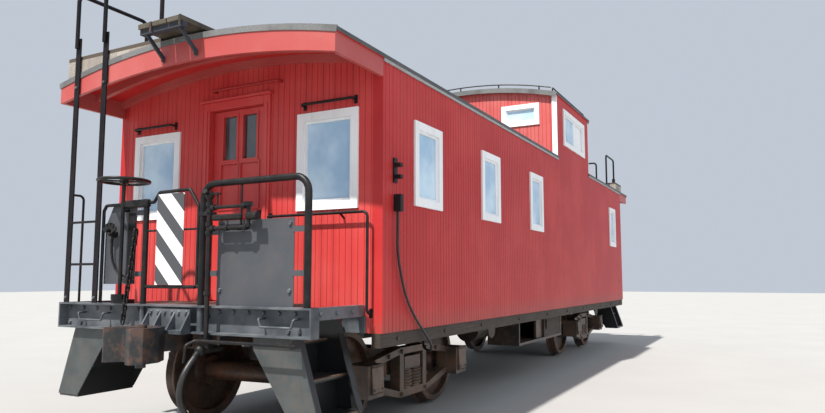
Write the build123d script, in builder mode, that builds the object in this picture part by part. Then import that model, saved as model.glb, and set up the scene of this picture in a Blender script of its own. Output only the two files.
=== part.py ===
"""A wooden railway caboose on two arch bar trucks, with a platform, steps and a roof ladder at each end.

X runs along the car and Y across it. Z is up from the lowest points of the wheel flanges, in millimetres.
The far end is the near end turned half round about the car's middle, as on the real car.
"""

import os
from math import cos, radians, sin, sqrt

from build123d import *

os.makedirs("parts", exist_ok=True)

# The body
body_length = 9100
body_width = 2880
wall = 90
sheathing_bottom = 885
eave_height = 2940
roof_rise = 170
roof_board = 30
eave_lip = 15
overhang = 634
floor_top = 1090
floor_board = 60
half_length = body_length / 2
half_width = body_width / 2
inner_half_width = half_width - wall
inner_end = half_length - wall
floor_bottom = floor_top - floor_board
roof_end = half_length + overhang

# The cupola
cupola_start = 202
cupola_length = 1780
cupola_side_top = eave_height + 895
cupola_rise = 190
cupola_roof_lip = 60
cupola_header = 110
cupola_end = cupola_start + cupola_length
cupola_middle = cupola_start + cupola_length / 2

# The fascia under each overhang
fascia_board = 30
fascia_edge_depth = 145
fascia_crown_depth = 170
carline_depth = 60
carline_board = 45

# Windows: trim outlines, measured over the outside of the trim
trim_width = 65
trim_proud = 18
liner = 30
glass_thickness = 6
glass_set_back = 40
side_window = (510, 700)
side_window_height = 2215
side_window_places = (742 - half_length, 2178 - half_length, 3716 - half_length, half_length - 832)
cupola_window = (1210, 528)
cupola_window_height = eave_height + 496
cupola_window_panel = 0.46
end_window = (575, 777)
end_window_place = (940, 2200)
cupola_end_window = (560, 311)
cupola_end_window_place = (906, eave_height + 660)

# The end doors
doorway_half = 300
doorway_top = eave_height - 210
casing_width = 70
door_gap = 5
door_thickness = 45
door_light = (150, 378)
door_light_place = (110, doorway_top - 246)
door_panel = (190, 560)
door_panel_places = (floor_top + 480, floor_top + 1010)
door_panel_depth = 10
hinge_radius = 8
hinge_stand_off = 9
hinge_length = 90
hinge_heights = (1350, 2500)
hinge_play = 0.3
hinge_leaf = 34

# The underframe
centre_sill_half = 165
centre_sill_bottom = 770
sill_web = 14
sill_flange = 80
side_sill_bottom = 780
side_sill_inset = 15
side_sill_lip = 60
truck_place = half_length - 1310
centre_plate_radius = 165
centre_plate_play = 0.3
body_bolster_length = 260
body_bolster_bottom = 705
body_bolster_tip = 905
bearer_places = (-1500, -1240, 860, 1500)
bearer_length = 70
bearer_bottom = 800
bearer_tip = 930

# The platforms and steps
platform_length = 654
end_sill_half = 1291
end_sill_bottom = 886
end_sill_depth_x = 90
deck_board = 30
deck_half = 720
deck_edge = 40
deck_edge_bottom = 950
step_plate = 8
step_outer_x = 600
step_inner_x = 50
step_flange = 60
step_bottom = 342
step_foot = (1081, 1319)
step_head = (760, 1140)
step_shoulder = 800
step_treads = ((842, 768, 1000), (600, 905, 1185), (350, 1081, 1310))
step_board = 24
sill_face = half_length + platform_length
sill_back = sill_face - end_sill_depth_x
sill_web_x = sill_back + sill_web

# The railings on each end sill
rail_line = sill_face - 39
hoop_pipe = 50
hoop_bend = 110
hoop_y = (-1228, -272)
hoop_top = 1975
thin_pipe = 26
post_pipe = 44
staff_rod = 30
post_y = 332
post_top = 1900
low_rail = floor_top + 132
middle_rail = floor_top + 560
top_rail = floor_top + 782
top_rail_loop = ((250, top_rail), (190, top_rail + 72), (-130, top_rail + 78), (-226, top_rail - 52))
ladder_rail_y = 830
grab_rail = 20
grab_rail_y = 1262
grab_rail_reach = 120
grab_rail_top = 1990
panel_thickness = 6
strap = 40
hoop_panel_y = (-1092, -398)
hoop_panel_top = 1700
brake_panel_y = (470, 830)
brake_panel_z = (1240, top_rail)
brake_panel_corner = (90, 172)
striped_board_y = (-94, 190)
striped_board_z = (low_rail, 1925)
striped_board_thickness = 20

# The hand brake
brake_staff_y = 570
brake_wheel_radius = 190
brake_wheel_rim = 13
brake_wheel_height = 2055
brake_wheel_hub = 34
brake_spoke = (22, 14)
ratchet_radius = 62
ratchet_height = 40
ratchet_base = 32
staff_bracket = 1810

# The air valve on the hoop
valve_stand_off = 62
valve_pipe_y = -394
valve_pipe_z = (860, 1860)
branch_heights = (1640, 1790)
branch_y = -760
valve_hanger_y = -640
horn_reach = 60

# The couplers
coupler_reach = 436
coupler_face = sill_face + coupler_reach
shank_half_width = 75
shank_half_height = 62
coupler_height = end_sill_bottom - shank_half_height
striker_half = 218
striker_reach = 90

# The roof walks and ladders
walk_half = 225
walk_end = half_length + 850
walk_top = eave_height + 265
walk_board = 36
lateral_top = eave_height + 235
lateral_end = 1350
lateral_board = 32
lateral_length = 560
lateral_riser = 30
plank_gap = 10
saddle_pitch = 1020
saddle_length = 60
ladder_outer_y = 1205
ladder_inner_y = 856
ladder_bar = (60, 12)
ladder_pipe = 34
ladder_splice = eave_height + 300
ladder_top = eave_height + 775
ladder_tie = eave_height - 60
ladder_rungs = (1400, 1745, 2090, 2435, 2780, 3110)
rung = 20

# The trucks
rail_gap_half = 676.5
wheel_radius = 419
flange_depth = 28
flange_width = 33
wheel_width = 135
wheel_base = 1676
rim = 60
plate_thickness = 26
hub_radius = 130
axle_radius = 78
journal_radius = 62
journal_play = 0.4
journal_y = 952
journal_end = 1048
journal_shoulder = 866
axle_height = wheel_radius + flange_depth
side_frame_thickness = 100
box_half_length = 118
box_lid = (84, 26)
box_height = (330, 592)
box_y = (880, 1108)
frame_top = 668
frame_bottom = 232
column_x = 205
column_width = 52
chord = 58
bolster_top = 640
bolster_bottom = 470
bolster_half = 150
spring_radius = 58
spring_seat = 300
brake_gap = 6

# The box, reservoir and brake gear under the floor
tool_box_x = (-1100, 720)
tool_box_z = (487, 850)
tool_box_y = (886, 1286)
tool_box_board = 30
tool_box_opening = 700
box_door_board = 22
box_door_gap = 5
runner_play = 0.3
reservoir_radius = 150
reservoir_length = 1000
cylinder_radius = 125

# Rods, cables and hoses
rail_rod = 20
iron_rod = 22
cupola_rail_rise = 110
bracket_reach = 62
side_cable = 20
cable_stand_off = 26
cable_top = 1790
junction_box = (110, 80, 100)
jack_plate_place = 2210
jack_plate_radius = 95
jack_plate_thickness = 14
air_hose = 44


def save(piece, name):
    piece.part.label = name
    export_step(piece.part, f"parts/{name}.step")


def block(x, y, z, mode=Mode.ADD):
    """A box between two values on each axis."""
    with Locations(((x[0] + x[1]) / 2, (y[0] + y[1]) / 2, (z[0] + z[1]) / 2)):
        Box(abs(x[1] - x[0]), abs(y[1] - y[0]), abs(z[1] - z[0]), mode=mode)


def plate(plane, outline, depth, mode=Mode.ADD):
    """A flat plate cut to a straight-sided outline."""
    with BuildSketch(plane) as face:
        with BuildLine():
            Polyline(*outline, close=True)
        make_face()
    extrude(face.sketch, amount=depth, mode=mode)


def rod(start, end, diameter):
    """A straight round bar."""
    with BuildLine() as route:
        Line(start, end)
    with BuildSketch(Plane(origin=route.line @ 0, z_dir=route.line % 0)) as section:
        Circle(diameter / 2)
    sweep(section.sketch, path=route.line)


def pipe(points, diameter, bend):
    """A round pipe bent to a radius at each corner."""
    with BuildLine() as route:
        FilletPolyline(*points, radius=bend)
    with BuildSketch(Plane(origin=route.line @ 0, z_dir=route.line % 0)) as section:
        Circle(diameter / 2)
    sweep(section.sketch, path=route.line)


def arc_radius(half_span, rise):
    return (half_span ** 2 + rise ** 2) / (2 * rise)


def roof_height(y, spring, rise):
    """The height of an arched roof's top over a place across the car."""
    radius = arc_radius(half_width, rise)
    return spring + rise - radius + sqrt((radius + roof_board) ** 2 - y ** 2)


def segment(plane, y, z_low, spring, rise, thickness=0, above=None):
    """The area between two Y values, under the arch that springs from the walls.

    With above set, everything under a second arch (spring, rise, thickness) is taken away.
    """
    radius = arc_radius(half_width, rise)
    top = spring + rise + thickness
    with BuildSketch(plane) as area:
        with Locations(((y[0] + y[1]) / 2, (z_low + top) / 2)):
            Rectangle(abs(y[1] - y[0]), top - z_low)
        with Locations((0, spring + rise - radius)):
            Circle(radius + thickness, mode=Mode.INTERSECT)
        if above is not None:
            low_radius = arc_radius(half_width, above[1])
            with Locations((0, above[0] + above[1] - low_radius)):
                Circle(low_radius + above[2], mode=Mode.SUBTRACT)
    return area.sketch


def shell(x, half, spring, rise):
    """An arched roof sheet between two X values."""
    area = segment(Plane.YZ.offset(x[0]), (-half, half), spring - roof_rise, spring, rise, roof_board,
                   (spring, rise, 0))
    extrude(area, amount=x[1] - x[0])


near_side = Plane.XZ.offset(half_width)
near_end = Plane(origin=(-half_length, 0, 0), x_dir=(0, -1, 0), z_dir=(-1, 0, 0))
cupola_near = Plane(origin=(cupola_start, 0, 0), x_dir=(0, -1, 0), z_dir=(-1, 0, 0))


def window_cut(plane, centre, size):
    with BuildSketch(plane) as opening:
        with Locations(centre):
            Rectangle(size[0] - 2 * (trim_width - liner), size[1] - 2 * (trim_width - liner))
    extrude(opening.sketch, amount=-wall, mode=Mode.SUBTRACT)


def window_frame(plane, centre, size):
    """Trim against the sheathing, with a liner that fills the cut through the wall."""
    sight = (size[0] - 2 * trim_width, size[1] - 2 * trim_width)
    with BuildSketch(plane) as trim:
        with Locations(centre):
            Rectangle(*size)
            Rectangle(*sight, mode=Mode.SUBTRACT)
    extrude(trim.sketch, amount=trim_proud)
    with BuildSketch(plane) as lining:
        with Locations(centre):
            Rectangle(sight[0] + 2 * liner, sight[1] + 2 * liner)
            Rectangle(*sight, mode=Mode.SUBTRACT)
    extrude(lining.sketch, amount=-wall)


def window_pane(plane, centre, size):
    with BuildSketch(plane.offset(-glass_set_back)) as pane:
        with Locations(centre):
            Rectangle(size[0] - 2 * trim_width, size[1] - 2 * trim_width)
    extrude(pane.sketch, amount=-glass_thickness)


def mirrored(piece):
    """The same piece on the other side of the car."""
    with BuildPart() as other:
        mirror(piece.part, about=Plane.XZ)
    return other


def turned(piece):
    """The same piece at the far end of the car."""
    with BuildPart() as other:
        add(piece.part, rotation=(0, 0, 180))
    return other


def both(*pieces):
    with BuildPart() as pair:
        for piece in pieces:
            add(piece.part)
    return pair


# Side walls
with BuildPart() as side_wall:
    extrude(segment(Plane.YZ.offset(-half_length), (-half_width, -inner_half_width), sheathing_bottom,
                    eave_height, roof_rise), amount=body_length)
    for place in side_window_places:
        window_cut(near_side, (place, side_window_height), side_window)
save(side_wall, "side_wall_near")
save(mirrored(side_wall), "side_wall_far")

# End walls, with the doorway, two windows, the casing round the doorway and the ledger under the deck
with BuildPart() as end_wall:
    extrude(segment(Plane.YZ.offset(-half_length), (-inner_half_width, inner_half_width), sheathing_bottom,
                    eave_height, roof_rise), amount=wall)
    block((-half_length, -inner_end), (-doorway_half, doorway_half), (floor_top, doorway_top), Mode.SUBTRACT)
    block((-half_length, -inner_end), (-centre_sill_half - deck_edge, centre_sill_half + deck_edge),
          (sheathing_bottom, floor_bottom), Mode.SUBTRACT)
    for across in (-end_window_place[0], end_window_place[0]):
        window_cut(near_end, (across, end_window_place[1]), end_window)
    with BuildSketch(near_end) as casing:
        with Locations((0, (floor_top + doorway_top + casing_width) / 2)):
            Rectangle(2 * (doorway_half + casing_width), doorway_top + casing_width - floor_top)
        with Locations((0, (floor_top + doorway_top) / 2)):
            Rectangle(2 * doorway_half, doorway_top - floor_top, mode=Mode.SUBTRACT)
    extrude(casing.sketch, amount=trim_proud)
    block((-half_length - trim_proud, -half_length), (-deck_half - deck_edge, deck_half + deck_edge),
          (floor_top - deck_board, floor_top))
    hinge_x = -inner_end + hinge_stand_off
    hinge_y = doorway_half + 3
    for height in hinge_heights:
        for low in (height - hinge_length, height + hinge_length / 2 + hinge_play):
            knuckle = (low, low + hinge_length / 2 - hinge_play)
            block((-inner_end, hinge_x), (hinge_y, hinge_y + hinge_leaf), knuckle)
            with Locations((hinge_x, hinge_y, sum(knuckle) / 2)):
                Cylinder(hinge_radius, knuckle[1] - knuckle[0])
save(end_wall, "end_wall_near")
save(turned(end_wall), "end_wall_far")

# End doors that swing into the car on butt hinges
light_z = (door_light_place[1] - door_light[1] / 2, door_light_place[1] + door_light[1] / 2)
with BuildPart() as end_door:
    leaf_x = (-inner_end - door_thickness, -inner_end)
    leaf_y = (-doorway_half + door_gap, doorway_half - door_gap)
    block(leaf_x, leaf_y, (floor_top + 2 * door_gap, doorway_top - door_gap))
    for across in (-door_light_place[0], door_light_place[0]):
        light_y = (across - door_light[0] / 2, across + door_light[0] / 2)
        block(leaf_x, light_y, light_z, Mode.SUBTRACT)
        for middle in door_panel_places:
            for face in ((leaf_x[0], leaf_x[0] + door_panel_depth), (leaf_x[1] - door_panel_depth, leaf_x[1])):
                block(face, (across - door_panel[0] / 2, across + door_panel[0] / 2),
                      (middle - door_panel[1] / 2 + 60, middle + door_panel[1] / 2 - 60), Mode.SUBTRACT)
    for height in hinge_heights:
        knuckle = (height - hinge_length / 2 + hinge_play, height + hinge_length / 2)
        block((-inner_end, hinge_x), (doorway_half - hinge_leaf, hinge_y), knuckle)
        with Locations((hinge_x, hinge_y, sum(knuckle) / 2)):
            Cylinder(hinge_radius, knuckle[1] - knuckle[0])
save(end_door, "end_door_near")
save(turned(end_door), "end_door_far")
with BuildPart() as door_glass:
    pane_x = (sum(leaf_x) / 2 - glass_thickness / 2, sum(leaf_x) / 2 + glass_thickness / 2)
    for across in (-door_light_place[0], door_light_place[0]):
        block(pane_x, (across - door_light[0] / 2, across + door_light[0] / 2), light_z)
save(door_glass, "door_glass_near")
save(turned(door_glass), "door_glass_far")

# The cupola
with BuildPart() as cupola_side:
    extrude(segment(Plane.YZ.offset(cupola_start), (-half_width, -inner_half_width), eave_height,
                    cupola_side_top, cupola_rise, 0, (eave_height, roof_rise, 0)), amount=cupola_length)
    window_cut(near_side, (cupola_middle, cupola_window_height), cupola_window)
save(cupola_side, "cupola_side_near")
save(mirrored(cupola_side), "cupola_side_far")

with BuildPart() as cupola_end_wall:
    extrude(segment(Plane.YZ.offset(cupola_start), (-inner_half_width, inner_half_width), eave_height - roof_rise,
                    cupola_side_top, cupola_rise, 0, (eave_height, roof_rise, -cupola_header)), amount=wall)
    for across in (-cupola_end_window_place[0], cupola_end_window_place[0]):
        window_cut(cupola_near, (across, cupola_end_window_place[1]), cupola_end_window)
with BuildPart() as cupola_ends:
    add(cupola_end_wall.part)
    mirror(cupola_end_wall.part, about=Plane.YZ.offset(cupola_middle))
save(cupola_ends, "cupola_ends")

with BuildPart() as cupola_roof:
    shell((cupola_start - cupola_roof_lip, cupola_end + cupola_roof_lip), half_width + eave_lip,
          cupola_side_top, cupola_rise)
save(cupola_roof, "cupola_roof")

# The main roof, in two lengths with the cupola between them
with BuildPart() as roof_near:
    shell((-roof_end, cupola_start), half_width + eave_lip, eave_height, roof_rise)
save(roof_near, "roof_near")
with BuildPart() as roof_far:
    shell((cupola_end, roof_end), half_width + eave_lip, eave_height, roof_rise)
save(roof_far, "roof_far")

# The arched fascia, its side plates and the carlines under each overhang
fascia_rise = roof_rise - fascia_crown_depth + fascia_edge_depth
with BuildPart() as fascia:
    extrude(segment(Plane.YZ.offset(-roof_end), (-half_width, half_width), eave_height - fascia_edge_depth,
                    eave_height, roof_rise, 0, (eave_height - fascia_edge_depth, fascia_rise, 0)),
            amount=fascia_board)
    for side in (-1, 1):
        side_plate = (side * half_width, side * (half_width - fascia_board))
        extrude(segment(Plane.YZ.offset(-roof_end + fascia_board), side_plate,
                        eave_height - fascia_edge_depth, eave_height, roof_rise), amount=overhang - fascia_board)
    for place in (roof_end - overhang / 2, half_length + carline_board):
        extrude(segment(Plane.YZ.offset(-place), (-half_width + fascia_board, half_width - fascia_board),
                        eave_height - fascia_edge_depth, eave_height, roof_rise, 0,
                        (eave_height, roof_rise, -carline_depth)), amount=carline_board)
save(both(fascia, turned(fascia)), "fascias")

# Window frames and glass
with BuildPart() as side_frames:
    for place in side_window_places:
        window_frame(near_side, (place, side_window_height), side_window)
save(both(side_frames, mirrored(side_frames)), "side_window_frames")

with BuildPart() as end_frames:
    for across in (-end_window_place[0], end_window_place[0]):
        window_frame(near_end, (across, end_window_place[1]), end_window)
save(both(end_frames, turned(end_frames)), "end_window_frames")

panel_width = cupola_window_panel * (cupola_window[0] - 2 * trim_width)
panel_middle = cupola_middle + cupola_window[0] / 2 - trim_width - panel_width / 2
with BuildPart() as cupola_side_frame:
    window_frame(near_side, (cupola_middle, cupola_window_height), cupola_window)
    with BuildSketch(near_side.offset(-glass_set_back)) as blank_panel:
        with Locations((panel_middle, cupola_window_height)):
            Rectangle(panel_width, cupola_window[1] - 2 * trim_width)
    extrude(blank_panel.sketch, amount=trim_proud)
with BuildPart() as cupola_end_frames:
    for across in (-cupola_end_window_place[0], cupola_end_window_place[0]):
        window_frame(cupola_near, (across, cupola_end_window_place[1]), cupola_end_window)
with BuildPart() as cupola_frames:
    add(cupola_side_frame.part)
    mirror(cupola_side_frame.part, about=Plane.XZ)
    add(cupola_end_frames.part)
    mirror(cupola_end_frames.part, about=Plane.YZ.offset(cupola_middle))
save(cupola_frames, "cupola_window_frames")

with BuildPart() as side_panes:
    for place in side_window_places:
        window_pane(near_side, (place, side_window_height), side_window)
    glass_width = cupola_window[0] - 2 * trim_width - panel_width
    with BuildSketch(near_side.offset(-glass_set_back)) as cupola_pane:
        with Locations((panel_middle - panel_width / 2 - glass_width / 2, cupola_window_height)):
            Rectangle(glass_width, cupola_window[1] - 2 * trim_width)
    extrude(cupola_pane.sketch, amount=-glass_thickness)
with BuildPart() as end_panes:
    for across in (-end_window_place[0], end_window_place[0]):
        window_pane(near_end, (across, end_window_place[1]), end_window)
with BuildPart() as cupola_end_panes:
    for across in (-cupola_end_window_place[0], cupola_end_window_place[0]):
        window_pane(cupola_near, (across, cupola_end_window_place[1]), cupola_end_window)
with BuildPart() as glass:
    add(side_panes.part)
    mirror(side_panes.part, about=Plane.XZ)
    add(end_panes.part)
    add(end_panes.part, rotation=(0, 0, 180))
    add(cupola_end_panes.part)
    mirror(cupola_end_panes.part, about=Plane.YZ.offset(cupola_middle))
save(glass, "window_glass")

# The underframe: centre sill with the middles of the body bolsters and cross bearers
bolster_seat = bolster_top + 20
with BuildPart() as underframe:
    for side in (-1, 1):
        web = (side * centre_sill_half, side * (centre_sill_half - sill_web))
        block((-sill_back, sill_back), web, (centre_sill_bottom, floor_bottom))
        foot = (side * centre_sill_half, side * (centre_sill_half - sill_flange))
        block((-sill_back, sill_back), foot, (centre_sill_bottom, centre_sill_bottom + sill_web))
    block((-sill_back, sill_back), (-centre_sill_half - deck_edge, centre_sill_half + deck_edge),
          (floor_bottom - sill_web, floor_bottom))
    for place in (-truck_place, truck_place):
        block((place - body_bolster_length / 2, place + body_bolster_length / 2),
              (-centre_sill_half, centre_sill_half), (body_bolster_bottom, floor_bottom))
        with Locations((place, 0, (body_bolster_bottom + bolster_seat + centre_plate_play) / 2)):
            Cylinder(centre_plate_radius, body_bolster_bottom - bolster_seat - centre_plate_play)
    for place in bearer_places:
        block((place - bearer_length / 2, place + bearer_length / 2),
              (-centre_sill_half, centre_sill_half), (bearer_bottom, floor_bottom))
save(underframe, "underframe")

# The arms of bolsters and bearers, from the centre sill out to the side sills
arm_end = inner_half_width - side_sill_lip
with BuildPart() as cross_arms:
    bolster_arms = [(place, body_bolster_length, body_bolster_bottom, body_bolster_tip)
                    for place in (-truck_place, truck_place)]
    bearer_arms = [(place, bearer_length, bearer_bottom, bearer_tip) for place in bearer_places]
    for place, length, root, tip in bolster_arms + bearer_arms:
        for side in (-1, 1):
            plate(Plane.YZ.offset(place - length / 2),
                  ((side * centre_sill_half, root), (side * arm_end, tip), (side * arm_end, floor_bottom),
                   (side * (centre_sill_half + deck_edge), floor_bottom),
                   (side * (centre_sill_half + deck_edge), floor_bottom - sill_web),
                   (side * centre_sill_half, floor_bottom - sill_web)),
                  length)
save(cross_arms, "cross_arms")

with BuildPart() as side_sill:
    sill_face_y = half_width - side_sill_inset
    block((-half_length, half_length), (-sill_face_y, -inner_half_width), (side_sill_bottom, sheathing_bottom))
    block((-inner_end, inner_end), (-inner_half_width, -inner_half_width + sill_web),
          (side_sill_bottom, floor_bottom))
    for level in (side_sill_bottom, floor_bottom - sill_web):
        block((-inner_end, inner_end), (-inner_half_width, -inner_half_width + side_sill_lip),
              (level, level + sill_web))
    for place in (jack_plate_place - half_length, half_length - jack_plate_place):
        with BuildSketch(Plane.XZ.offset(sill_face_y)) as jack_plate:
            with Locations((place, side_sill_bottom)):
                Circle(jack_plate_radius)
                with Locations((0, jack_plate_radius / 2)):
                    Rectangle(2 * jack_plate_radius, jack_plate_radius, mode=Mode.SUBTRACT)
        extrude(jack_plate.sketch, amount=-jack_plate_thickness)
save(both(side_sill, mirrored(side_sill)), "side_sills")

with BuildPart() as floor:
    block((-inner_end, inner_end), (-inner_half_width, inner_half_width), (floor_bottom, floor_top))
save(floor, "floor")

# The end sills: outward channels with a ribbed striker, end plates, stubs of the posts and grab irons
with BuildPart() as end_sill:
    block((-sill_web_x, -sill_back), (-end_sill_half, end_sill_half), (end_sill_bottom, floor_top))
    for level in (end_sill_bottom, floor_top - sill_web):
        block((-sill_face, -sill_web_x), (-end_sill_half, end_sill_half), (level, level + sill_web))
    for side in (-1, 1):
        block((-sill_face, -sill_web_x), (side * end_sill_half, side * (end_sill_half - sill_web)),
              (end_sill_bottom, floor_top))
    for across, diameter in ((hoop_y[1], hoop_pipe), (post_y, post_pipe)):
        rod((-rail_line, across, end_sill_bottom + sill_web), (-rail_line, across, floor_top - sill_web), diameter)
    block((-sill_face - 12, -sill_face), (-striker_half, striker_half), (end_sill_bottom, floor_top - 30))
    block((-sill_face - striker_reach, -sill_face - 12), (-striker_half, striker_half),
          (end_sill_bottom, end_sill_bottom + 26))
    for across in (-striker_half, -striker_half / 3, striker_half / 3, striker_half - 16):
        plate(Plane.XZ.offset(-across),
              ((-sill_face - 12, end_sill_bottom + 26), (-sill_face - striker_reach, end_sill_bottom + 26),
               (-sill_face - 12, floor_top - 50)), -16)
    for middle in (-990, 900):
        grip = ((-sill_web_x, middle - 150, 1010), (-sill_face + 8, middle - 150, 1010),
                (-sill_face + 8, middle - 130, 955), (-sill_face + 8, middle + 130, 955),
                (-sill_face + 8, middle + 150, 1010), (-sill_web_x, middle + 150, 1010))
        pipe(grip, 16, 12)
save(both(end_sill, turned(end_sill)), "end_sills")

# Platform decks between the step wells
with BuildPart() as platform:
    deck_x = (-sill_back, -half_length - trim_proud)
    block(deck_x, (-deck_half, deck_half), (floor_top - deck_board, floor_top))
    for side in (-1, 1):
        block(deck_x, (side * deck_half, side * (deck_half + deck_edge)), (deck_edge_bottom, floor_top))
save(both(platform, turned(platform)), "platforms")

# Steps: side plates with a bent edge, three treads and the risers between them
with BuildPart() as step_near:
    outer_x = -half_length - step_outer_x
    inner_x = -half_length - step_inner_x
    front_edge = ((-step_head[1], end_sill_bottom), (-step_foot[1], step_bottom))
    plate(Plane.YZ.offset(outer_x), ((-step_head[0], end_sill_bottom), *front_edge,
                                     (-step_foot[0], step_bottom), (-step_head[0], step_shoulder)), step_plate)
    plate(Plane.YZ.offset(inner_x - step_plate),
          ((-step_head[0], deck_edge_bottom + 30), (-step_head[1] + 26, deck_edge_bottom + 30),
           (-step_foot[1], step_bottom), (-step_foot[0], step_bottom), (-step_head[0], step_shoulder)), step_plate)
    bent = ((front_edge[0][0], front_edge[0][1]), (front_edge[1][0], front_edge[1][1]),
            (front_edge[1][0] + step_plate, front_edge[1][1]), (front_edge[0][0] + step_plate, front_edge[0][1]))
    plate(Plane.YZ.offset(outer_x + step_plate), bent, step_flange)
    plate(Plane.YZ.offset(inner_x - step_plate - step_flange), bent, step_flange)
    for index, (level, back, front) in enumerate(step_treads):
        block((outer_x + step_plate, inner_x - step_plate), (-front, -back), (level - step_board, level))
        if index > 0:
            above = step_treads[index - 1]
            block((outer_x + step_plate, inner_x - step_plate), (-back - step_plate, -back),
                  (level, above[0] - step_board))
    block((-sill_back, inner_x - step_plate), (-step_head[0] - step_plate, -step_head[0]),
          (step_treads[0][0] - step_board, deck_edge_bottom + 30))
with BuildPart() as steps:
    for piece in (step_near, mirrored(step_near)):
        add(piece.part)
        add(piece.part, rotation=(0, 0, 180))
save(steps, "steps")

# Couplers: shank, head with a knuckle, and the uncoupling lever across the end sill
with BuildPart() as coupler:
    head_x = -coupler_face
    block((-sill_web_x + 300, head_x + 330), (-shank_half_width, shank_half_width),
          (coupler_height - shank_half_height, coupler_height + shank_half_height))
    with BuildSketch(Plane.XY.offset(coupler_height - 120)) as head:
        with BuildLine():
            Polyline((head_x + 330, -80), (head_x + 330, 80), (head_x + 240, 150), (head_x + 60, 215),
                     (head_x + 20, 190), (head_x + 110, 100), (head_x + 150, 20), (head_x + 120, -40),
                     (head_x + 10, -60), (head_x, -120), (head_x + 60, -175), (head_x + 200, -170), close=True)
        make_face()
        fillet(head.vertices(), 14)
    extrude(head.sketch, amount=240)
    with Locations((head_x + 95, -118, coupler_height)):
        Cylinder(34, 290)
    block((head_x + 250, head_x + 310), (-40, 40), (coupler_height + 62, coupler_height + 62 + 4))
save(coupler, "coupler_near")
save(turned(coupler), "coupler_far")

# Uncoupling lever and angle cock, which hang from the end sill
cock_mouth = (-sill_face - 90, -360, end_sill_bottom - 152)
hose_drop = ((0, 0, 0), (-58, 0, -54), (-104, 8, -138), (-110, 22, -234), (-80, 38, -322), (-22, 54, -382))
lever_x = -sill_face - 60
with BuildPart() as end_fittings:
    for across in (-1180, -560):
        block((lever_x - 10, -sill_face + 20), (across - 12, across + 12),
              (end_sill_bottom - 60, end_sill_bottom))
    pipe(((lever_x, -1210, end_sill_bottom - 40), (lever_x, -330, end_sill_bottom - 40),
          (lever_x - 60, -300, end_sill_bottom - 70), (lever_x - 60, -290, end_sill_bottom - 190)), 24, 30)
    cock = tuple(Vector(*cock_mouth) - Vector(*hose_drop[1]).normalized() * 66)
    rod((-sill_face + 160, cock[1], cock[2]), cock, 46)
    block((-sill_face + 10, -sill_face + 40), (cock[1] - 40, cock[1] + 40), (cock[2], end_sill_bottom))
    with Locations(cock):
        Sphere(38)
    rod(cock, cock_mouth, air_hose + 4)
save(both(end_fittings, turned(end_fittings)), "end_fittings")

# Railings: the heavy hoop, the thin rails, the post and the grab rail at the ladder
with BuildPart() as railing:
    pipe(((-rail_line, hoop_y[0], floor_top), (-rail_line, hoop_y[0], hoop_top),
          (-rail_line, hoop_y[1], hoop_top), (-rail_line, hoop_y[1], floor_top)), hoop_pipe, hoop_bend)
    rod((-rail_line, post_y, floor_top), (-rail_line, post_y, post_top), post_pipe)
    loop_y = top_rail_loop[-1][0]
    pipe(((-rail_line, post_y - post_pipe / 2, top_rail), *((-rail_line, *point) for point in top_rail_loop),
          (-rail_line, loop_y, low_rail), (-rail_line, hoop_y[1] + hoop_pipe / 2, low_rail)), thin_pipe, 20)
    for level, diameter in ((low_rail, thin_pipe), (middle_rail, 16)):
        rod((-rail_line, post_y - post_pipe / 2, level), (-rail_line, loop_y + thin_pipe / 2, level), diameter)
    pipe(((-rail_line, post_y + post_pipe / 2, top_rail), (-rail_line, ladder_rail_y - 30, top_rail),
          (-rail_line, ladder_rail_y, top_rail - 42), (-rail_line, ladder_rail_y, floor_top)), thin_pipe, 24)
    pipe(((-rail_line, grab_rail_y, floor_top), (-rail_line, grab_rail_y, grab_rail_top),
          (-rail_line + grab_rail_reach, grab_rail_y, grab_rail_top),
          (-rail_line + grab_rail_reach, grab_rail_y, floor_top)), grab_rail, 40)
save(both(railing, turned(railing)), "railings")

# Panels: the dark plate in the hoop, the chamfered plate at the post and the striped board
with BuildPart() as hoop_panel:
    panel_x = -rail_line + hoop_pipe / 2
    block((panel_x, panel_x + panel_thickness), hoop_panel_y, (floor_top, hoop_panel_top))
    for across, edge in zip(hoop_y, hoop_panel_y):
        for level in (floor_top + 210, hoop_panel_top - 100):
            block((panel_x, panel_x + panel_thickness), (across, edge), (level, level + strap))
with BuildPart() as brake_panel:
    brake_panel_x = -rail_line + post_pipe / 2
    plate(Plane.YZ.offset(brake_panel_x),
          ((brake_panel_y[1], brake_panel_z[0]), (brake_panel_y[1], brake_panel_z[1] - brake_panel_corner[1]),
           (brake_panel_y[1] - brake_panel_corner[0], brake_panel_z[1]), (brake_panel_y[0], brake_panel_z[1]),
           (brake_panel_y[0], brake_panel_z[0])), panel_thickness)
    for level in (brake_panel_z[0] + 60, brake_panel_z[1] - 92):
        block((brake_panel_x, brake_panel_x + panel_thickness), (post_y, brake_panel_y[0]), (level, level + strap))
with BuildPart() as striped_board:
    board_x = -rail_line + thin_pipe / 2
    block((board_x, board_x + striped_board_thickness), striped_board_y, striped_board_z)
with BuildPart() as panels:
    for piece in (hoop_panel, brake_panel, striped_board):
        add(piece.part)
        add(piece.part, rotation=(0, 0, 180))
save(panels, "railing_panels")

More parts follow.
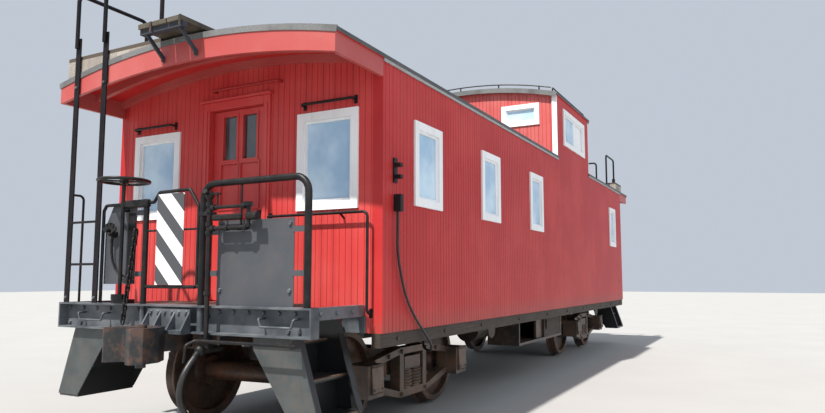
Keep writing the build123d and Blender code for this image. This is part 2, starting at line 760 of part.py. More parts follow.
# Hand brake stand: ratchet base, staff and flat wheel with four spokes
with BuildPart() as brake_stand:
    staff = (-rail_line - thin_pipe / 2 - staff_rod / 2, brake_staff_y)
    block((-sill_face, -sill_back), (staff[1] - ratchet_radius - 18, staff[1] + ratchet_radius + 18),
          (floor_top, floor_top + ratchet_base))
    with Locations((*staff, floor_top + ratchet_base + ratchet_height / 2)):
        Cylinder(ratchet_radius, ratchet_height)
    rod((*staff, floor_top + ratchet_base), (*staff, brake_wheel_height + 15), staff_rod)
    with Locations((*staff, brake_wheel_height)):
        Torus(brake_wheel_radius, brake_wheel_rim)
        Cylinder(brake_wheel_hub, 40)
        with PolarLocations(0, 4, start_angle=45):
            with Locations((brake_wheel_radius / 2, 0, 0)):
                Box(brake_wheel_radius - brake_wheel_rim, *brake_spoke)
    block((staff[0], brake_panel_x), (staff[1] - 20, staff[1] + 20), (staff_bracket, staff_bracket + 20))
save(both(brake_stand, turned(brake_stand)), "brake_stands")

# Conductor's air valve on the hoop: branch pipes, a small lever and the open horn
with BuildPart() as air_valve:
    valve_x = -rail_line - valve_stand_off
    low_branch, high_branch = branch_heights
    horn = (valve_x, valve_pipe_y, valve_pipe_z[1] + 20)
    rod((valve_x, valve_pipe_y, valve_pipe_z[0]), (valve_x, valve_pipe_y, valve_pipe_z[1]), 34)
    rod((valve_x, valve_pipe_y, low_branch), (valve_x, branch_y, low_branch), 30)
    rod((valve_x, valve_pipe_y, high_branch), (valve_x, branch_y + 20, high_branch), 24)
    rod((valve_x, branch_y, low_branch), (valve_x, branch_y, high_branch + 10), 30)
    block((valve_x - 10, -rail_line + 10), (valve_pipe_y, hoop_y[1] - hoop_pipe / 2),
          (high_branch - 55, high_branch - 25))
    block((valve_x, -rail_line + 5), (valve_hanger_y, valve_hanger_y + 30), (low_branch - 15, low_branch + 15))
    rod((-rail_line, valve_hanger_y, low_branch), (-rail_line, valve_hanger_y, hoop_top - hoop_pipe / 2), 16)
    with Locations(horn):
        Sphere(34)
    rod(horn, (horn[0] - horn_reach, horn[1] - 10, horn[2] + 25), 36)
    rod((valve_x, -470, high_branch), (valve_x, -470, high_branch + 110), 14)
    block((-sill_face, valve_x), (valve_pipe_y - 14, valve_pipe_y + 14), (1000, 1030))
save(both(air_valve, turned(air_valve)), "air_valves")

# Roof ladders: flat bars with two rungs, and pipe grab rails bolted on above the eaves
with BuildPart() as ladder:
    bar_x = (-sill_face, -sill_face + ladder_bar[1])
    for across in (ladder_inner_y, ladder_outer_y):
        block(bar_x, (across - ladder_bar[0] / 2, across + ladder_bar[0] / 2), (floor_top, ladder_splice + 90))
        block((bar_x[1], -roof_end), (across - ladder_bar[0] / 2, across + ladder_bar[0] / 2),
              (ladder_tie, ladder_tie + 32))
    for level in ladder_rungs:
        rod((sum(bar_x) / 2, ladder_inner_y, level), (sum(bar_x) / 2, ladder_outer_y, level), rung)
    pipe_x = bar_x[0] - ladder_pipe / 2 + 4
    outer_roof = roof_height(ladder_outer_y - ladder_pipe / 2, eave_height, roof_rise)
    pipe(((pipe_x, ladder_outer_y, ladder_splice), (pipe_x, ladder_outer_y, ladder_top),
          (-half_length + 40, ladder_outer_y, ladder_top), (-half_length + 40, ladder_outer_y, outer_roof)),
         ladder_pipe, 60)
    pipe(((pipe_x, ladder_inner_y, ladder_splice), (pipe_x, ladder_inner_y, ladder_top - 20),
          (pipe_x, 620, ladder_top - 20), (pipe_x, walk_half - 40, ladder_top + 70),
          (pipe_x, walk_half - 40, walk_top)), ladder_pipe, 60)
save(both(ladder, turned(ladder)), "ladders")

# Roof walks: three planks on saddles along the crown, and a boxed step from the ladder to the crown
plank = (2 * walk_half - 2 * plank_gap) / 3
saddle_x = -walk_end + 60
saddle_top = walk_top - walk_board
strut_drop = 169
strut_foot = saddle_top - 40 - strut_drop


def on_roof(plane, y, low, top, depth):
    """A block between two Y values that stands on the arched roof."""
    radius = arc_radius(half_width, roof_rise)
    with BuildSketch(plane) as area:
        with Locations(((y[0] + y[1]) / 2, (low + top) / 2)):
            Rectangle(abs(y[1] - y[0]), top - low)
        with Locations((0, eave_height + roof_rise - radius)):
            Circle(radius + roof_board, mode=Mode.SUBTRACT)
    extrude(area.sketch, amount=depth)


def roof_walk(length):
    """The walk over one end's roof, from the struts outside the fascia to the cupola."""
    with BuildPart() as walk:
        for index in (-1, 0, 1):
            middle = index * (plank + plank_gap)
            block((-walk_end, -walk_end + length), (middle - plank / 2, middle + plank / 2), (saddle_top, walk_top))
        first = walk_end - roof_end + saddle_length
        count = int((length - first) // saddle_pitch) + 1
        for step in range(count):
            place = -walk_end + first + step * saddle_pitch
            on_roof(Plane.YZ.offset(place), (-walk_half, walk_half), eave_height, saddle_top, saddle_length)
        block((saddle_x - 40, saddle_x + 10), (-walk_half, walk_half), (saddle_top - 40, saddle_top))
        for across in (-175, 175):
            plate(Plane.XZ.offset(-across - 8),
                  ((saddle_x - 30, saddle_top - 40), (saddle_x + 10, saddle_top - 40),
                   (-roof_end, strut_foot + 45), (-roof_end, strut_foot)), 16)
    return walk


save(roof_walk(walk_end + cupola_start - cupola_roof_lip), "roof_walk_near")
far_walk = roof_walk(walk_end - cupola_end - cupola_roof_lip)
save(turned(far_walk), "roof_walk_far")

with BuildPart() as ladder_walk:
    for low_x in (-roof_end, -roof_end + lateral_length - lateral_riser):
        on_roof(Plane.YZ.offset(low_x), (walk_half, lateral_end), eave_height, lateral_top - lateral_board,
                lateral_riser)
    on_roof(Plane.YZ.offset(-roof_end + lateral_riser), (lateral_end - lateral_riser, lateral_end), eave_height,
            lateral_top - lateral_board, lateral_length - 2 * lateral_riser)
    lateral_plank = (lateral_length - 3 * plank_gap) / 4
    for index in range(4):
        low_x = -roof_end + index * (lateral_plank + plank_gap)
        block((low_x, low_x + lateral_plank), (walk_half, lateral_end), (lateral_top - lateral_board, lateral_top))
save(both(ladder_walk, turned(ladder_walk)), "ladder_walks")

# Rails on the cupola roof: one along each side, one over each end
cupola_rail_y = half_width - 60
cupola_rail_x = cupola_length / 2 + cupola_roof_lip - 60
cupola_rail_top = cupola_side_top + cupola_rail_rise
with BuildPart() as cupola_rails:
    for side in (-1, 1):
        base = roof_height(cupola_rail_y - rail_rod / 2, cupola_side_top, cupola_rise)
        pipe(((cupola_middle - cupola_rail_x, side * cupola_rail_y, base),
              (cupola_middle - cupola_rail_x, side * cupola_rail_y, cupola_rail_top),
              (cupola_middle + cupola_rail_x, side * cupola_rail_y, cupola_rail_top),
              (cupola_middle + cupola_rail_x, side * cupola_rail_y, base)), rail_rod, 30)
        for place in (-cupola_rail_x / 3, cupola_rail_x / 3):
            rod((cupola_middle + place, side * cupola_rail_y, base),
                (cupola_middle + place, side * cupola_rail_y, cupola_rail_top), rail_rod)
save(cupola_rails, "cupola_rails")

# Grab irons on the end wall, over the windows, over the door and down the corner
iron_x = -half_length - 60
window_iron = eave_height - 290
door_iron = eave_height - 50
door_iron_y = (-480, 240)
corner_iron_y = (-1345, -doorway_half - casing_width - 20)
corner_iron_z = (floor_top - 60, floor_top + 686)
with BuildPart() as grab_irons:
    for inner, outer in ((-720, -1200), (720, 1200)):
        pipe(((-half_length, inner, window_iron), (iron_x, inner, window_iron), (iron_x, outer, window_iron),
              (-half_length, outer, window_iron)), iron_rod, 24)
    pipe(((-half_length, door_iron_y[1], door_iron), (iron_x, door_iron_y[1], door_iron),
          (iron_x, door_iron_y[0], door_iron), (-half_length, door_iron_y[0], door_iron)), iron_rod, 24)
    pipe(((-half_length, corner_iron_y[1], corner_iron_z[1]), (iron_x, corner_iron_y[1], corner_iron_z[1]),
          (iron_x, corner_iron_y[0], corner_iron_z[1]), (iron_x, corner_iron_y[0], corner_iron_z[0]),
          (-half_length, corner_iron_y[0], corner_iron_z[0])), iron_rod, 40)
save(both(grab_irons, turned(grab_irons)), "grab_irons")

# Marker lamp bracket and cable bracket on the side, near the corner
bracket_x = -half_length + 176
with BuildPart() as side_brackets:
    block((bracket_x - 26, bracket_x + 26), (-half_width - 12, -half_width), (2010, 2200))
    for level in (2040, 2130):
        block((bracket_x - 20, bracket_x + 20), (-half_width - bracket_reach, -half_width - 12), (level, level + 30))
    block((bracket_x - 16, bracket_x + 30), (-half_width - bracket_reach, -half_width), (cable_top, 1920))

# The cable that runs from its bracket down the side and in under the sill to a junction box
cable_y = -half_width - cable_stand_off
cable_points = ((bracket_x + 7, cable_y, cable_top), (bracket_x + 7, cable_y, 1650), (bracket_x + 2, cable_y, 1480),
                (bracket_x + 60, cable_y, 1300), (bracket_x + 130, cable_y, 1150), (bracket_x + 260, cable_y, 1000),
                (bracket_x + 450, cable_y, 850), (bracket_x + 600, cable_y + 6, 740),
                (bracket_x + 720, -half_width + 60, 668), (bracket_x + 830, -half_width + 190, 694),
                (bracket_x + 880, -inner_half_width + side_sill_lip + 40, 800),
                (bracket_x + 880, -inner_half_width + side_sill_lip + 40, floor_bottom - junction_box[2]))
with BuildPart() as junction:
    with Locations((cable_points[-1][0], cable_points[-1][1], floor_bottom - junction_box[2] / 2)):
        Box(*junction_box)
save(both(both(side_brackets, junction), turned(both(side_brackets, junction))), "side_brackets")


def route_radii(points):
    """Each corner's arc is as large as its two runs allow."""
    radii = []
    for before, corner, after in zip(points, points[1:], points[2:]):
        run_in = Vector(*corner) - Vector(*before)
        run_out = Vector(*after) - Vector(*corner)
        half_turn = radians(run_in.get_angle(run_out)) / 2
        radii.append(0.45 * min(run_in.length, run_out.length) * cos(half_turn) / sin(half_turn))
    return radii


def tube(points, diameter, name):
    """A free hose or cable: straight runs joined by tangent arcs."""
    radii = route_radii(points)
    with BuildPart() as cord:
        with BuildLine() as route:
            FilletPolyline(*points, radius=radii)
        with BuildSketch(Plane(origin=route.line @ 0, z_dir=route.line % 0)):
            Circle(diameter / 2)
        sweep(path=route.line)
    length = sum(edge.length for edge in route.line.edges())
    print(name, "length", round(length), "radii", [round(radius) for radius in radii],
          "volume share", round(cord.part.volume / (length * 3.14159265 * diameter ** 2 / 4), 4))
    return cord, Plane(origin=route.line @ 1, z_dir=route.line % 1)


cable, cable_end = tube(cable_points, side_cable, "side cable")
save(cable, "side_cable_near")
save(turned(cable), "side_cable_far")

# Air hoses: from the angle cock down to a coupling that hangs free
hose_points = [tuple(start + step for start, step in zip(cock_mouth, point)) for point in hose_drop]
hose, hose_end = tube(hose_points, air_hose, "air hose")
save(hose, "air_hose_near")
save(turned(hose), "air_hose_far")
with BuildPart() as hose_coupling:
    with BuildSketch(hose_end) as collar:
        Circle(air_hose / 2 + 6)
    extrude(collar.sketch, amount=50)
    with BuildSketch(hose_end.offset(50)) as gland:
        Rectangle(58, 96)
        fillet(gland.vertices(), 18)
    extrude(gland.sketch, amount=62)
save(hose_coupling, "hose_coupling_near")
save(turned(hose_coupling), "hose_coupling_far")

# Tool boxes under the floor, open for half their front, with a sliding door that closes the opening
box_sides = (-tool_box_y[1], -tool_box_y[0])
track_y = -tool_box_y[1] + box_door_board + 2 * box_door_gap
with BuildPart() as tool_box:
    block(tool_box_x, box_sides, tool_box_z)
    block((tool_box_x[0] + tool_box_board, tool_box_x[1] - tool_box_board),
          (-tool_box_y[1], -tool_box_y[0] - tool_box_board),
          (tool_box_z[0] + tool_box_board, tool_box_z[1] - tool_box_board), Mode.SUBTRACT)
    block((tool_box_x[0] + tool_box_opening + tool_box_board + 30, tool_box_x[1] - tool_box_board),
          (track_y, track_y + tool_box_board),
          (tool_box_z[0] + tool_box_board, tool_box_z[1] - tool_box_board))
    for place in (tool_box_x[0] + 150, sum(tool_box_x) / 2 - 60, tool_box_x[1] - 250):
        block((place, place + 60), (-tool_box_y[0] - 60, -tool_box_y[0]), (tool_box_z[1], floor_bottom))
save(both(tool_box, mirrored(tool_box)), "tool_boxes")

box_door_width = tool_box_opening + 60
box_door_x = (tool_box_x[1] - tool_box_board - box_door_gap - box_door_width,
              tool_box_x[1] - tool_box_board - box_door_gap)
with BuildPart() as box_door:
    door_face = -tool_box_y[1] + box_door_gap
    block(box_door_x, (door_face, door_face + box_door_board),
          (tool_box_z[0] + tool_box_board + runner_play, tool_box_z[1] - tool_box_board - box_door_gap))
    block((box_door_x[0] + 60, box_door_x[0] + 90), (-tool_box_y[1] - 14, door_face), (620, 740))
save(box_door, "box_door_near")
save(mirrored(box_door), "box_door_far")

# Air reservoir, brake cylinder and its levers, hung from the floor
reservoir_middle = (-700, 480, 640)
cylinder_middle = (-1560, -900, 715)
with BuildPart() as brake_gear:
    with Locations(Location(reservoir_middle, (0, 90, 0))):
        Cylinder(reservoir_radius, reservoir_length)
        fillet(edges().filter_by(GeomType.CIRCLE), 50)
    for place in (-1000, -450):
        block((place, place + 50), (reservoir_middle[1] - 60, reservoir_middle[1] + 60),
              (reservoir_middle[2] + reservoir_radius - 20, floor_bottom))
    with Locations(Location(cylinder_middle, (0, 90, 0))):
        Cylinder(cylinder_radius, 420)
    for flange_x in (-1750, -1390):
        with Locations(Location((flange_x, *cylinder_middle[1:]), (0, 90, 0))):
            Cylinder(cylinder_radius + 14, 26)
    block((-1440, -1390), (cylinder_middle[1] - 40, cylinder_middle[1] + 40),
          (cylinder_middle[2] + cylinder_radius - 30, floor_bottom))
    push_x = -1150
    rod((-1370, *cylinder_middle[1:]), (push_x, *cylinder_middle[1:]), 50)
    block((push_x - 25, push_x + 25), (cylinder_middle[1] - 30, -240), (700, 730))
    rod((push_x, -300, 670), (push_x, -300, 760), 44)
    rod((push_x, -560, 670), (push_x, -560, 760), 44)
    rod((push_x, -560, 680), (-1880, -560, 680), 30)
    block((push_x - 20, push_x + 20), (-320, -280), (740, floor_bottom))
save(brake_gear, "brake_gear")

# Trucks: arch bar side frames, bolster, springs, spring plank, journal boxes and brake beams
with BuildPart() as truck:
    for side in (-1, 1):
        face = side * journal_y + side_frame_thickness / 2
        with BuildSketch(Plane.XZ.offset(-face)) as side_frame:
            with BuildLine():
                Polyline((-wheel_base / 2 - 100, 575), (-wheel_base / 2 + 90, 596), (-column_x - 40, frame_top),
                         (column_x + 40, frame_top), (wheel_base / 2 - 90, 596), (wheel_base / 2 + 100, 575),
                         (wheel_base / 2 + 100, 400), (wheel_base / 2 - 90, 352), (column_x + 40, frame_bottom),
                         (-column_x - 40, frame_bottom), (-wheel_base / 2 + 90, 352), (-wheel_base / 2 - 100, 400),
                         close=True)
            make_face()
            fillet(side_frame.vertices(), 24)
            for mirror_x in (-1, 1):
                with BuildLine():
                    Polyline((mirror_x * (column_x + column_width), frame_top - chord),
                             (mirror_x * (wheel_base / 2 - 130), 596 - chord + 6),
                             (mirror_x * (wheel_base / 2 - 130), 352 + chord - 6),
                             (mirror_x * (column_x + column_width), frame_bottom + chord), close=True)
                make_face(mode=Mode.SUBTRACT)
            with Locations((0, (frame_top + frame_bottom) / 2)):
                Rectangle(2 * column_x - 40, frame_top - frame_bottom - 2 * chord, mode=Mode.SUBTRACT)
        extrude(side_frame.sketch, amount=side_frame_thickness)
        for place in (-wheel_base / 2, wheel_base / 2):
            y = sorted((side * box_y[0], side * box_y[1]))
            block((place - box_half_length, place + box_half_length), y, box_height)
            lid_y = side * box_y[1]
            with BuildSketch(Plane.YZ.offset(place - box_lid[0])) as lid:
                with BuildLine():
                    Polyline((lid_y, box_height[0] + 30), (lid_y + side * box_lid[1], box_height[0] + 46),
                             (lid_y + side * box_lid[1] / 2, box_height[1] - 20), (lid_y, box_height[1] - 6),
                             close=True)
                make_face()
            extrude(lid.sketch, amount=2 * box_lid[0])
        spring_y = side * journal_y
        for place in (-column_x / 2 + 14, column_x / 2 - 14):
            with Locations((place, spring_y, (spring_seat + bolster_bottom) / 2)):
                Cylinder(spring_radius, bolster_bottom - spring_seat)
    block((-bolster_half, bolster_half), (-journal_y - 40, journal_y + 40), (bolster_bottom, bolster_top - 60))
    block((-bolster_half, bolster_half), (-journal_y + 130, journal_y - 130), (bolster_bottom - 60, bolster_top))
    with Locations((0, 0, bolster_top + 10)):
        Cylinder(centre_plate_radius + 25, 20)
    block((-column_x + 20, column_x - 20), (-journal_y - 50, journal_y + 50), (frame_bottom + chord, spring_seat))
    for side in (-1, 1):
        beam_x = side * (wheel_base / 2 - wheel_radius - 78)
        inner_y = journal_y - side_frame_thickness / 2
        block((beam_x - 30, beam_x + 30), (-inner_y + 22, inner_y - 22), (axle_height - 30, axle_height + 30))
        for hanger in ((-inner_y, -inner_y + 22), (inner_y - 22, inner_y)):
            block((beam_x - 20, beam_x + 20), hanger, (axle_height - 30, 640))
        for across in (-(rail_gap_half + 90), rail_gap_half + 90):
            with BuildSketch(Plane.XZ.offset(-across - 40)) as shoe:
                with Locations((side * wheel_base / 2, axle_height)):
                    Circle(wheel_radius + brake_gap + 44)
                    Circle(wheel_radius + brake_gap, mode=Mode.SUBTRACT)
                with Locations((side * (wheel_base / 2 - wheel_radius - 24), axle_height)):
                    Rectangle(120, 260, mode=Mode.INTERSECT)
            extrude(shoe.sketch, amount=80)
    for side in (-1, 1):
        for place in (-wheel_base / 2, wheel_base / 2):
            with Locations(Location((place, side * (journal_shoulder + journal_end + 10) / 2, axle_height), (90, 0, 0))):
                Cylinder(journal_radius + journal_play, journal_end + 10 - journal_shoulder, mode=Mode.SUBTRACT)

# Wheelsets: an axle with two flanged wheels, turned about the axle
with BuildPart() as wheelset:
    with BuildSketch(Plane.XY) as section:
        with BuildLine():
            back = rail_gap_half
            front = rail_gap_half + wheel_width
            web_mid = (back + front) / 2 + 6
            Polyline((0, 0), (0, axle_radius), (back - 20, axle_radius + 10), (back - 20, hub_radius),
                     (back + 30, hub_radius), (web_mid - plate_thickness, hub_radius + 30),
                     (web_mid - plate_thickness / 2, wheel_radius - rim), (back + 4, wheel_radius - rim + 6),
                     (back, wheel_radius + flange_depth - 8), (back + 8, wheel_radius + flange_depth),
                     (back + flange_width - 12, wheel_radius + flange_depth - 6),
                     (back + flange_width, wheel_radius + 2), (front - 6, wheel_radius - 4),
                     (front, wheel_radius - 10), (front, wheel_radius - rim),
                     (web_mid + plate_thickness / 2, wheel_radius - rim - 8),
                     (web_mid + plate_thickness, hub_radius + 20), (front + 14, hub_radius - 6),
                     (front + 14, axle_radius + 4), (journal_shoulder - 6, axle_radius + 4),
                     (journal_shoulder - 6, journal_radius), (journal_end, journal_radius), (journal_end, 0),
                     close=True)
        make_face()
    revolve(section.sketch, axis=Axis.X)
    mirror(about=Plane.YZ)

for end, centre in (("near", -truck_place), ("far", truck_place)):
    with BuildPart() as placed_truck:
        with Locations((centre, 0, 0)):
            add(truck.part)
    save(placed_truck, f"truck_{end}")
    for number, offset in (("outer", -1), ("inner", 1)):
        place = centre + (offset if end == "near" else -offset) * wheel_base / 2
        with BuildPart() as placed_wheels:
            with Locations(Location((place, 0, axle_height), (0, 0, 90))):
                add(wheelset.part)
        save(placed_wheels, f"wheelset_{end}_{number}")
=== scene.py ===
# %% [markdown]
# # A wooden railway caboose
# This lesson dresses a finished solid model of a caboose. The solids already have their real size and
# place, so nothing here moves them. We only give each one a surface, and swap in finer meshes where the
# real car has boards, mouldings, rivets and hoses that a plain solid can't show.

# %% Load the solids
import math

import bmesh
import bpy
from mathutils import Matrix, Vector


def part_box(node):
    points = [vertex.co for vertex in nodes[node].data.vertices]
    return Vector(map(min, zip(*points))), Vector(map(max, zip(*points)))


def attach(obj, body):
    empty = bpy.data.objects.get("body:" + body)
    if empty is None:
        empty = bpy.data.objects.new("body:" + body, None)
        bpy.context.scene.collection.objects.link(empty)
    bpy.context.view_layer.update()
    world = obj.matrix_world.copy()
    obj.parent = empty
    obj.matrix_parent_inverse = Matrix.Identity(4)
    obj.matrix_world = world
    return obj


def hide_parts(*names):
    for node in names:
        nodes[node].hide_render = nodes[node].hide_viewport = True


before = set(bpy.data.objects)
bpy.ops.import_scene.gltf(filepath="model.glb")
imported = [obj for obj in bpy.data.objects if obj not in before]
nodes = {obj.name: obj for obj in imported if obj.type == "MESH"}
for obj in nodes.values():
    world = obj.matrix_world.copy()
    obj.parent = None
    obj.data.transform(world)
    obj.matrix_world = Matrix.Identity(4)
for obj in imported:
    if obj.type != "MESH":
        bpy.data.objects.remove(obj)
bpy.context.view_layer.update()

# %% [markdown]
# ## Sizes
# The walls are flat planes, so a few distances place nearly everything. They are read from the solids
# where a solid has them, which keeps the meshes and the solids together. A window is noted as the place
# of its middle along the wall, the height of its middle, its width and its height, over the white trim.

# %% Sizes of the body
wall_low, wall_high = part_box("side_wall_near")
END_X = -wall_low.x
SIDE_Y = -wall_low.y
WALL = SIDE_Y + wall_high.y
INNER_Y = SIDE_Y - WALL
WALL_BOTTOM = wall_low.z
EAVE = 2.940
ROOF_RISE = 0.170
ROOF_BOARD = 0.030
CUPOLA_X = tuple(corner.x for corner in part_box("cupola_side_near"))
CUPOLA_EAVE = 3.835
CUPOLA_RISE = 0.190
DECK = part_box("platforms")[1].z
ROOF_END = -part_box("roof_near")[0].x
SILL_FACE = 5.204
LADDER_Y = (0.856, 1.205)

TRIM = 0.065
SIDE_WINDOWS = [(x, 2.215, 0.510, 0.700) for x in (-3.808, -2.372, -0.834, 3.718)]
END_WINDOWS = [(y, 2.200, 0.575, 0.777) for y in (-0.940, 0.940)]
CUPOLA_WINDOW = (1.092, 3.436, 1.210, 0.528)
CUPOLA_END_WINDOWS = [(y, 3.600, 0.560, 0.311) for y in (-0.906, 0.906)]
DOORWAY_HALF = 0.300
DOORWAY_TOP = 2.730
print("body", round(2 * END_X, 3), "long and", round(2 * SIDE_Y, 3), "wide")

# %% [markdown]
# ## The camera
# The photograph was taken from beside the track, close to the corner of the car. The place and the lens
# come from matching the corners of the body, the windows and the end sill to the picture.

# %% Camera
PICTURE_WIDTH = 825
PICTURE_HEIGHT = 413
FOCAL_PIXELS = 664.2
HORIZON_PIXEL = 213.4
CAMERA_PLACE = Vector((-8.740, -3.916, 1.283))
CAMERA_YAW = math.radians(62.0)
CAMERA_PITCH = math.radians(5.607)
SENSOR = 36.0

camera_data = bpy.data.cameras.new("camera")
camera_data.sensor_width = SENSOR
camera_data.lens = FOCAL_PIXELS / PICTURE_WIDTH * SENSOR
camera_data.shift_y = (HORIZON_PIXEL - PICTURE_HEIGHT / 2) / PICTURE_WIDTH
camera = bpy.data.objects.new("camera", camera_data)
bpy.context.collection.objects.link(camera)
look = Vector((math.sin(CAMERA_YAW) * math.cos(CAMERA_PITCH),
               math.cos(CAMERA_YAW) * math.cos(CAMERA_PITCH), math.sin(CAMERA_PITCH)))
camera.location = CAMERA_PLACE
camera.rotation_mode = "QUATERNION"
camera.rotation_quaternion = look.to_track_quat("-Z", "Y")
bpy.context.scene.camera = camera
print("lens", round(camera_data.lens, 2), "mm")

# %% [markdown]
# ## Light and floor
# A pale floor and a pale sky act as a soft box. One small, strong sun stands off the platform end, so that
# the end wall is lit and the long side lies in open shade, as on the day of the picture. A second, very
# wide one stands for the light that the ground and the sky throw on that side.

# %% Light and floor
SKY = (0.80, 0.88, 1.0, 1.0)
SKY_STRENGTH = 0.66
FLOOR_HALF = 60

world = bpy.data.worlds.new("studio")
bpy.context.scene.world = world
world.use_nodes = True
world.node_tree.nodes["Background"].inputs["Color"].default_value = SKY
world.node_tree.nodes["Background"].inputs["Strength"].default_value = SKY_STRENGTH
bpy.context.scene.view_settings.view_transform = "Standard"


def sun(name, direction, strength, angle, colour):
    data = bpy.data.lights.new(name, "SUN")
    data.energy = strength
    data.angle = math.radians(angle)
    data.color = colour
    lamp = bpy.data.objects.new(name, data)
    bpy.context.collection.objects.link(lamp)
    lamp.rotation_mode = "QUATERNION"
    lamp.rotation_quaternion = Vector(direction).to_track_quat("-Z", "Y")


sun("key", direction=(0.528, -0.108, -0.842), strength=6.2, angle=1.4, colour=(1.0, 0.965, 0.91))
sun("fill", direction=(0.25, 0.80, -0.45), strength=0.55, angle=60, colour=(0.92, 0.96, 1.0))

floor_bm = bmesh.new()
bmesh.ops.create_grid(floor_bm, x_segments=1, y_segments=1, size=FLOOR_HALF)
floor_mesh = bpy.data.meshes.new("studio_floor")
floor_bm.to_mesh(floor_mesh)
floor_bm.free()
studio_floor = bpy.data.objects.new("studio_floor", floor_mesh)
bpy.context.collection.objects.link(studio_floor)
print("floor", 2 * FLOOR_HALF, "m wide,", len(bpy.data.lights), "lights")

# %% [markdown]
# ## Node helpers
# A material is a small graph. These helpers add a node, set its sockets and join it up, so that each
# recipe below reads as a list of what it does. Places are read from Object coordinates, because they stay
# with the mesh when a part moves and when the model is exported.


# %% Node helpers
def add_node(tree, kind, settings=None, **sockets):
    """Adds a node. A socket is named by its label, or by i and its number."""
    made = tree.nodes.new(kind)
    for key, value in (settings or {}).items():
        setattr(made, key, value)
    for key, value in sockets.items():
        socket = made.inputs[int(key[1:])] if key[0] == "i" and key[1:].isdigit() else made.inputs[key]
        if isinstance(value, bpy.types.NodeSocket):
            tree.links.new(value, socket)
        else:
            socket.default_value = value
    return made


def place_of(tree):
    return tree.nodes.new("ShaderNodeTexCoord").outputs["Object"]


def normal_of(tree):
    return tree.nodes.new("ShaderNodeNewGeometry").outputs["Normal"]


def parts_of(tree, vector):
    return add_node(tree, "ShaderNodeSeparateXYZ", Vector=vector).outputs


def maths(tree, operation, first, second=0.0, clamp=False):
    settings = {"operation": operation, "use_clamp": clamp}
    return add_node(tree, "ShaderNodeMath", settings, i0=first, i1=second).outputs[0]


def times(tree, first, second, clamp=False):
    return maths(tree, "MULTIPLY", first, second, clamp)


def graded(tree, value, slope, start, clamp=False):
    """The value times a slope, plus a start."""
    return maths(tree, "ADD", times(tree, value, slope), start, clamp)


def blend(tree, factor, first, second):
    """The first colour where the factor is 0 and the second where it is 1."""
    first, second = ((*colour, 1.0) if isinstance(colour, tuple) else colour for colour in (first, second))
    return add_node(tree, "ShaderNodeMix", {"data_type": "RGBA"}, i0=factor, i6=first, i7=second).outputs[2]


def noise(tree, vector, scale, detail=4.0, roughness=0.55):
    return add_node(tree, "ShaderNodeTexNoise", Vector=vector, Scale=scale, Detail=detail,
                    Roughness=roughness).outputs["Fac"]


def stretched(tree, vector, scale):
    return add_node(tree, "ShaderNodeMapping", Vector=vector, Scale=scale).outputs["Vector"]


def ramp(tree, value, low, high):
    """0 below low, 1 above high, smooth between."""
    made = add_node(tree, "ShaderNodeMapRange", {"interpolation_type": "SMOOTHSTEP"},
                    **{"Value": value, "From Min": low, "From Max": high})
    return made.outputs["Result"]


def chance(tree, number):
    """A random share that is the same for all that rounds down to one whole number."""
    whole = maths(tree, "FLOOR", number)
    return add_node(tree, "ShaderNodeTexWhiteNoise", {"noise_dimensions": "1D"}, W=whole).outputs["Value"]


# %% [markdown]
# ## Groups
# An effect that several materials share is a node group, built once. Every group here takes colours and
# numbers by name and gives a colour, a roughness and a height for the bump.


# %% Group maker
def new_group(name, colours, numbers):
    group = bpy.data.node_groups.new(name, "ShaderNodeTree")
    for label, colour in colours.items():
        socket = group.interface.new_socket(name=label, in_out="INPUT", socket_type="NodeSocketColor")
        socket.default_value = (*colour, 1.0)
    for label, number in numbers.items():
        socket = group.interface.new_socket(name=label, in_out="INPUT", socket_type="NodeSocketFloat")
        socket.default_value = number
    for label, kind in (("Color", "Color"), ("Roughness", "Float"), ("Height", "Float")):
        group.interface.new_socket(name=label, in_out="OUTPUT", socket_type=f"NodeSocket{kind}")
    return group, group.nodes.new("NodeGroupInput").outputs


def close_group(group, colour, roughness, height):
    result = group.nodes.new("NodeGroupOutput").inputs
    for label, source in (("Color", colour), ("Roughness", roughness), ("Height", height)):
        group.links.new(source, result[label])
    print("group", group.name, "with", len(group.nodes), "nodes")


# %% [markdown]
# ## Weather
# Paint that stands outdoors does three things: it fades in soft patches, rain draws streaks down it, and
# dust from the ballast settles on its lowest hand's breadth. One group holds all three, because the walls,
# the trim and the doors share them.

# %% Weather group
weather, given = new_group(
    "weather",
    {"Paint": (0.5, 0.05, 0.05), "Faded": (0.6, 0.1, 0.1), "Dust": (0.25, 0.17, 0.12)},
    {"Fade": 0.5, "Streaks": 0.3, "Dust top": 1.2})
place = place_of(weather)
patches = ramp(weather, noise(weather, place, 1.7), 0.38, 0.68)
rain = ramp(weather, noise(weather, stretched(weather, place, (9, 9, 0.55)), 2.4), 0.45, 0.75)
grit = noise(weather, place, 46.0, 6.0, 0.7)
faded = blend(weather, times(weather, patches, given["Fade"]), given["Paint"], given["Faded"])
streaked = blend(weather, times(weather, rain, given["Streaks"]), faded, given["Dust"])
below = maths(weather, "SUBTRACT", given["Dust top"], parts_of(weather, place)["Z"])
settled = times(weather, below, 2.6, clamp=True)
settled = times(weather, settled, ramp(weather, grit, 0.30, 0.62), clamp=True)
close_group(weather, blend(weather, settled, streaked, given["Dust"]),
            graded(weather, grit, 0.30, 0.32), grit)

# %% [markdown]
# ## Worn iron
# Black paint on ironwork is never black for long. A dry brown dust lies in it and rust breaks through
# where hands and boots rub, so this group mixes paint, dust and rust by noise at two sizes. More dust lies
# on what faces up.

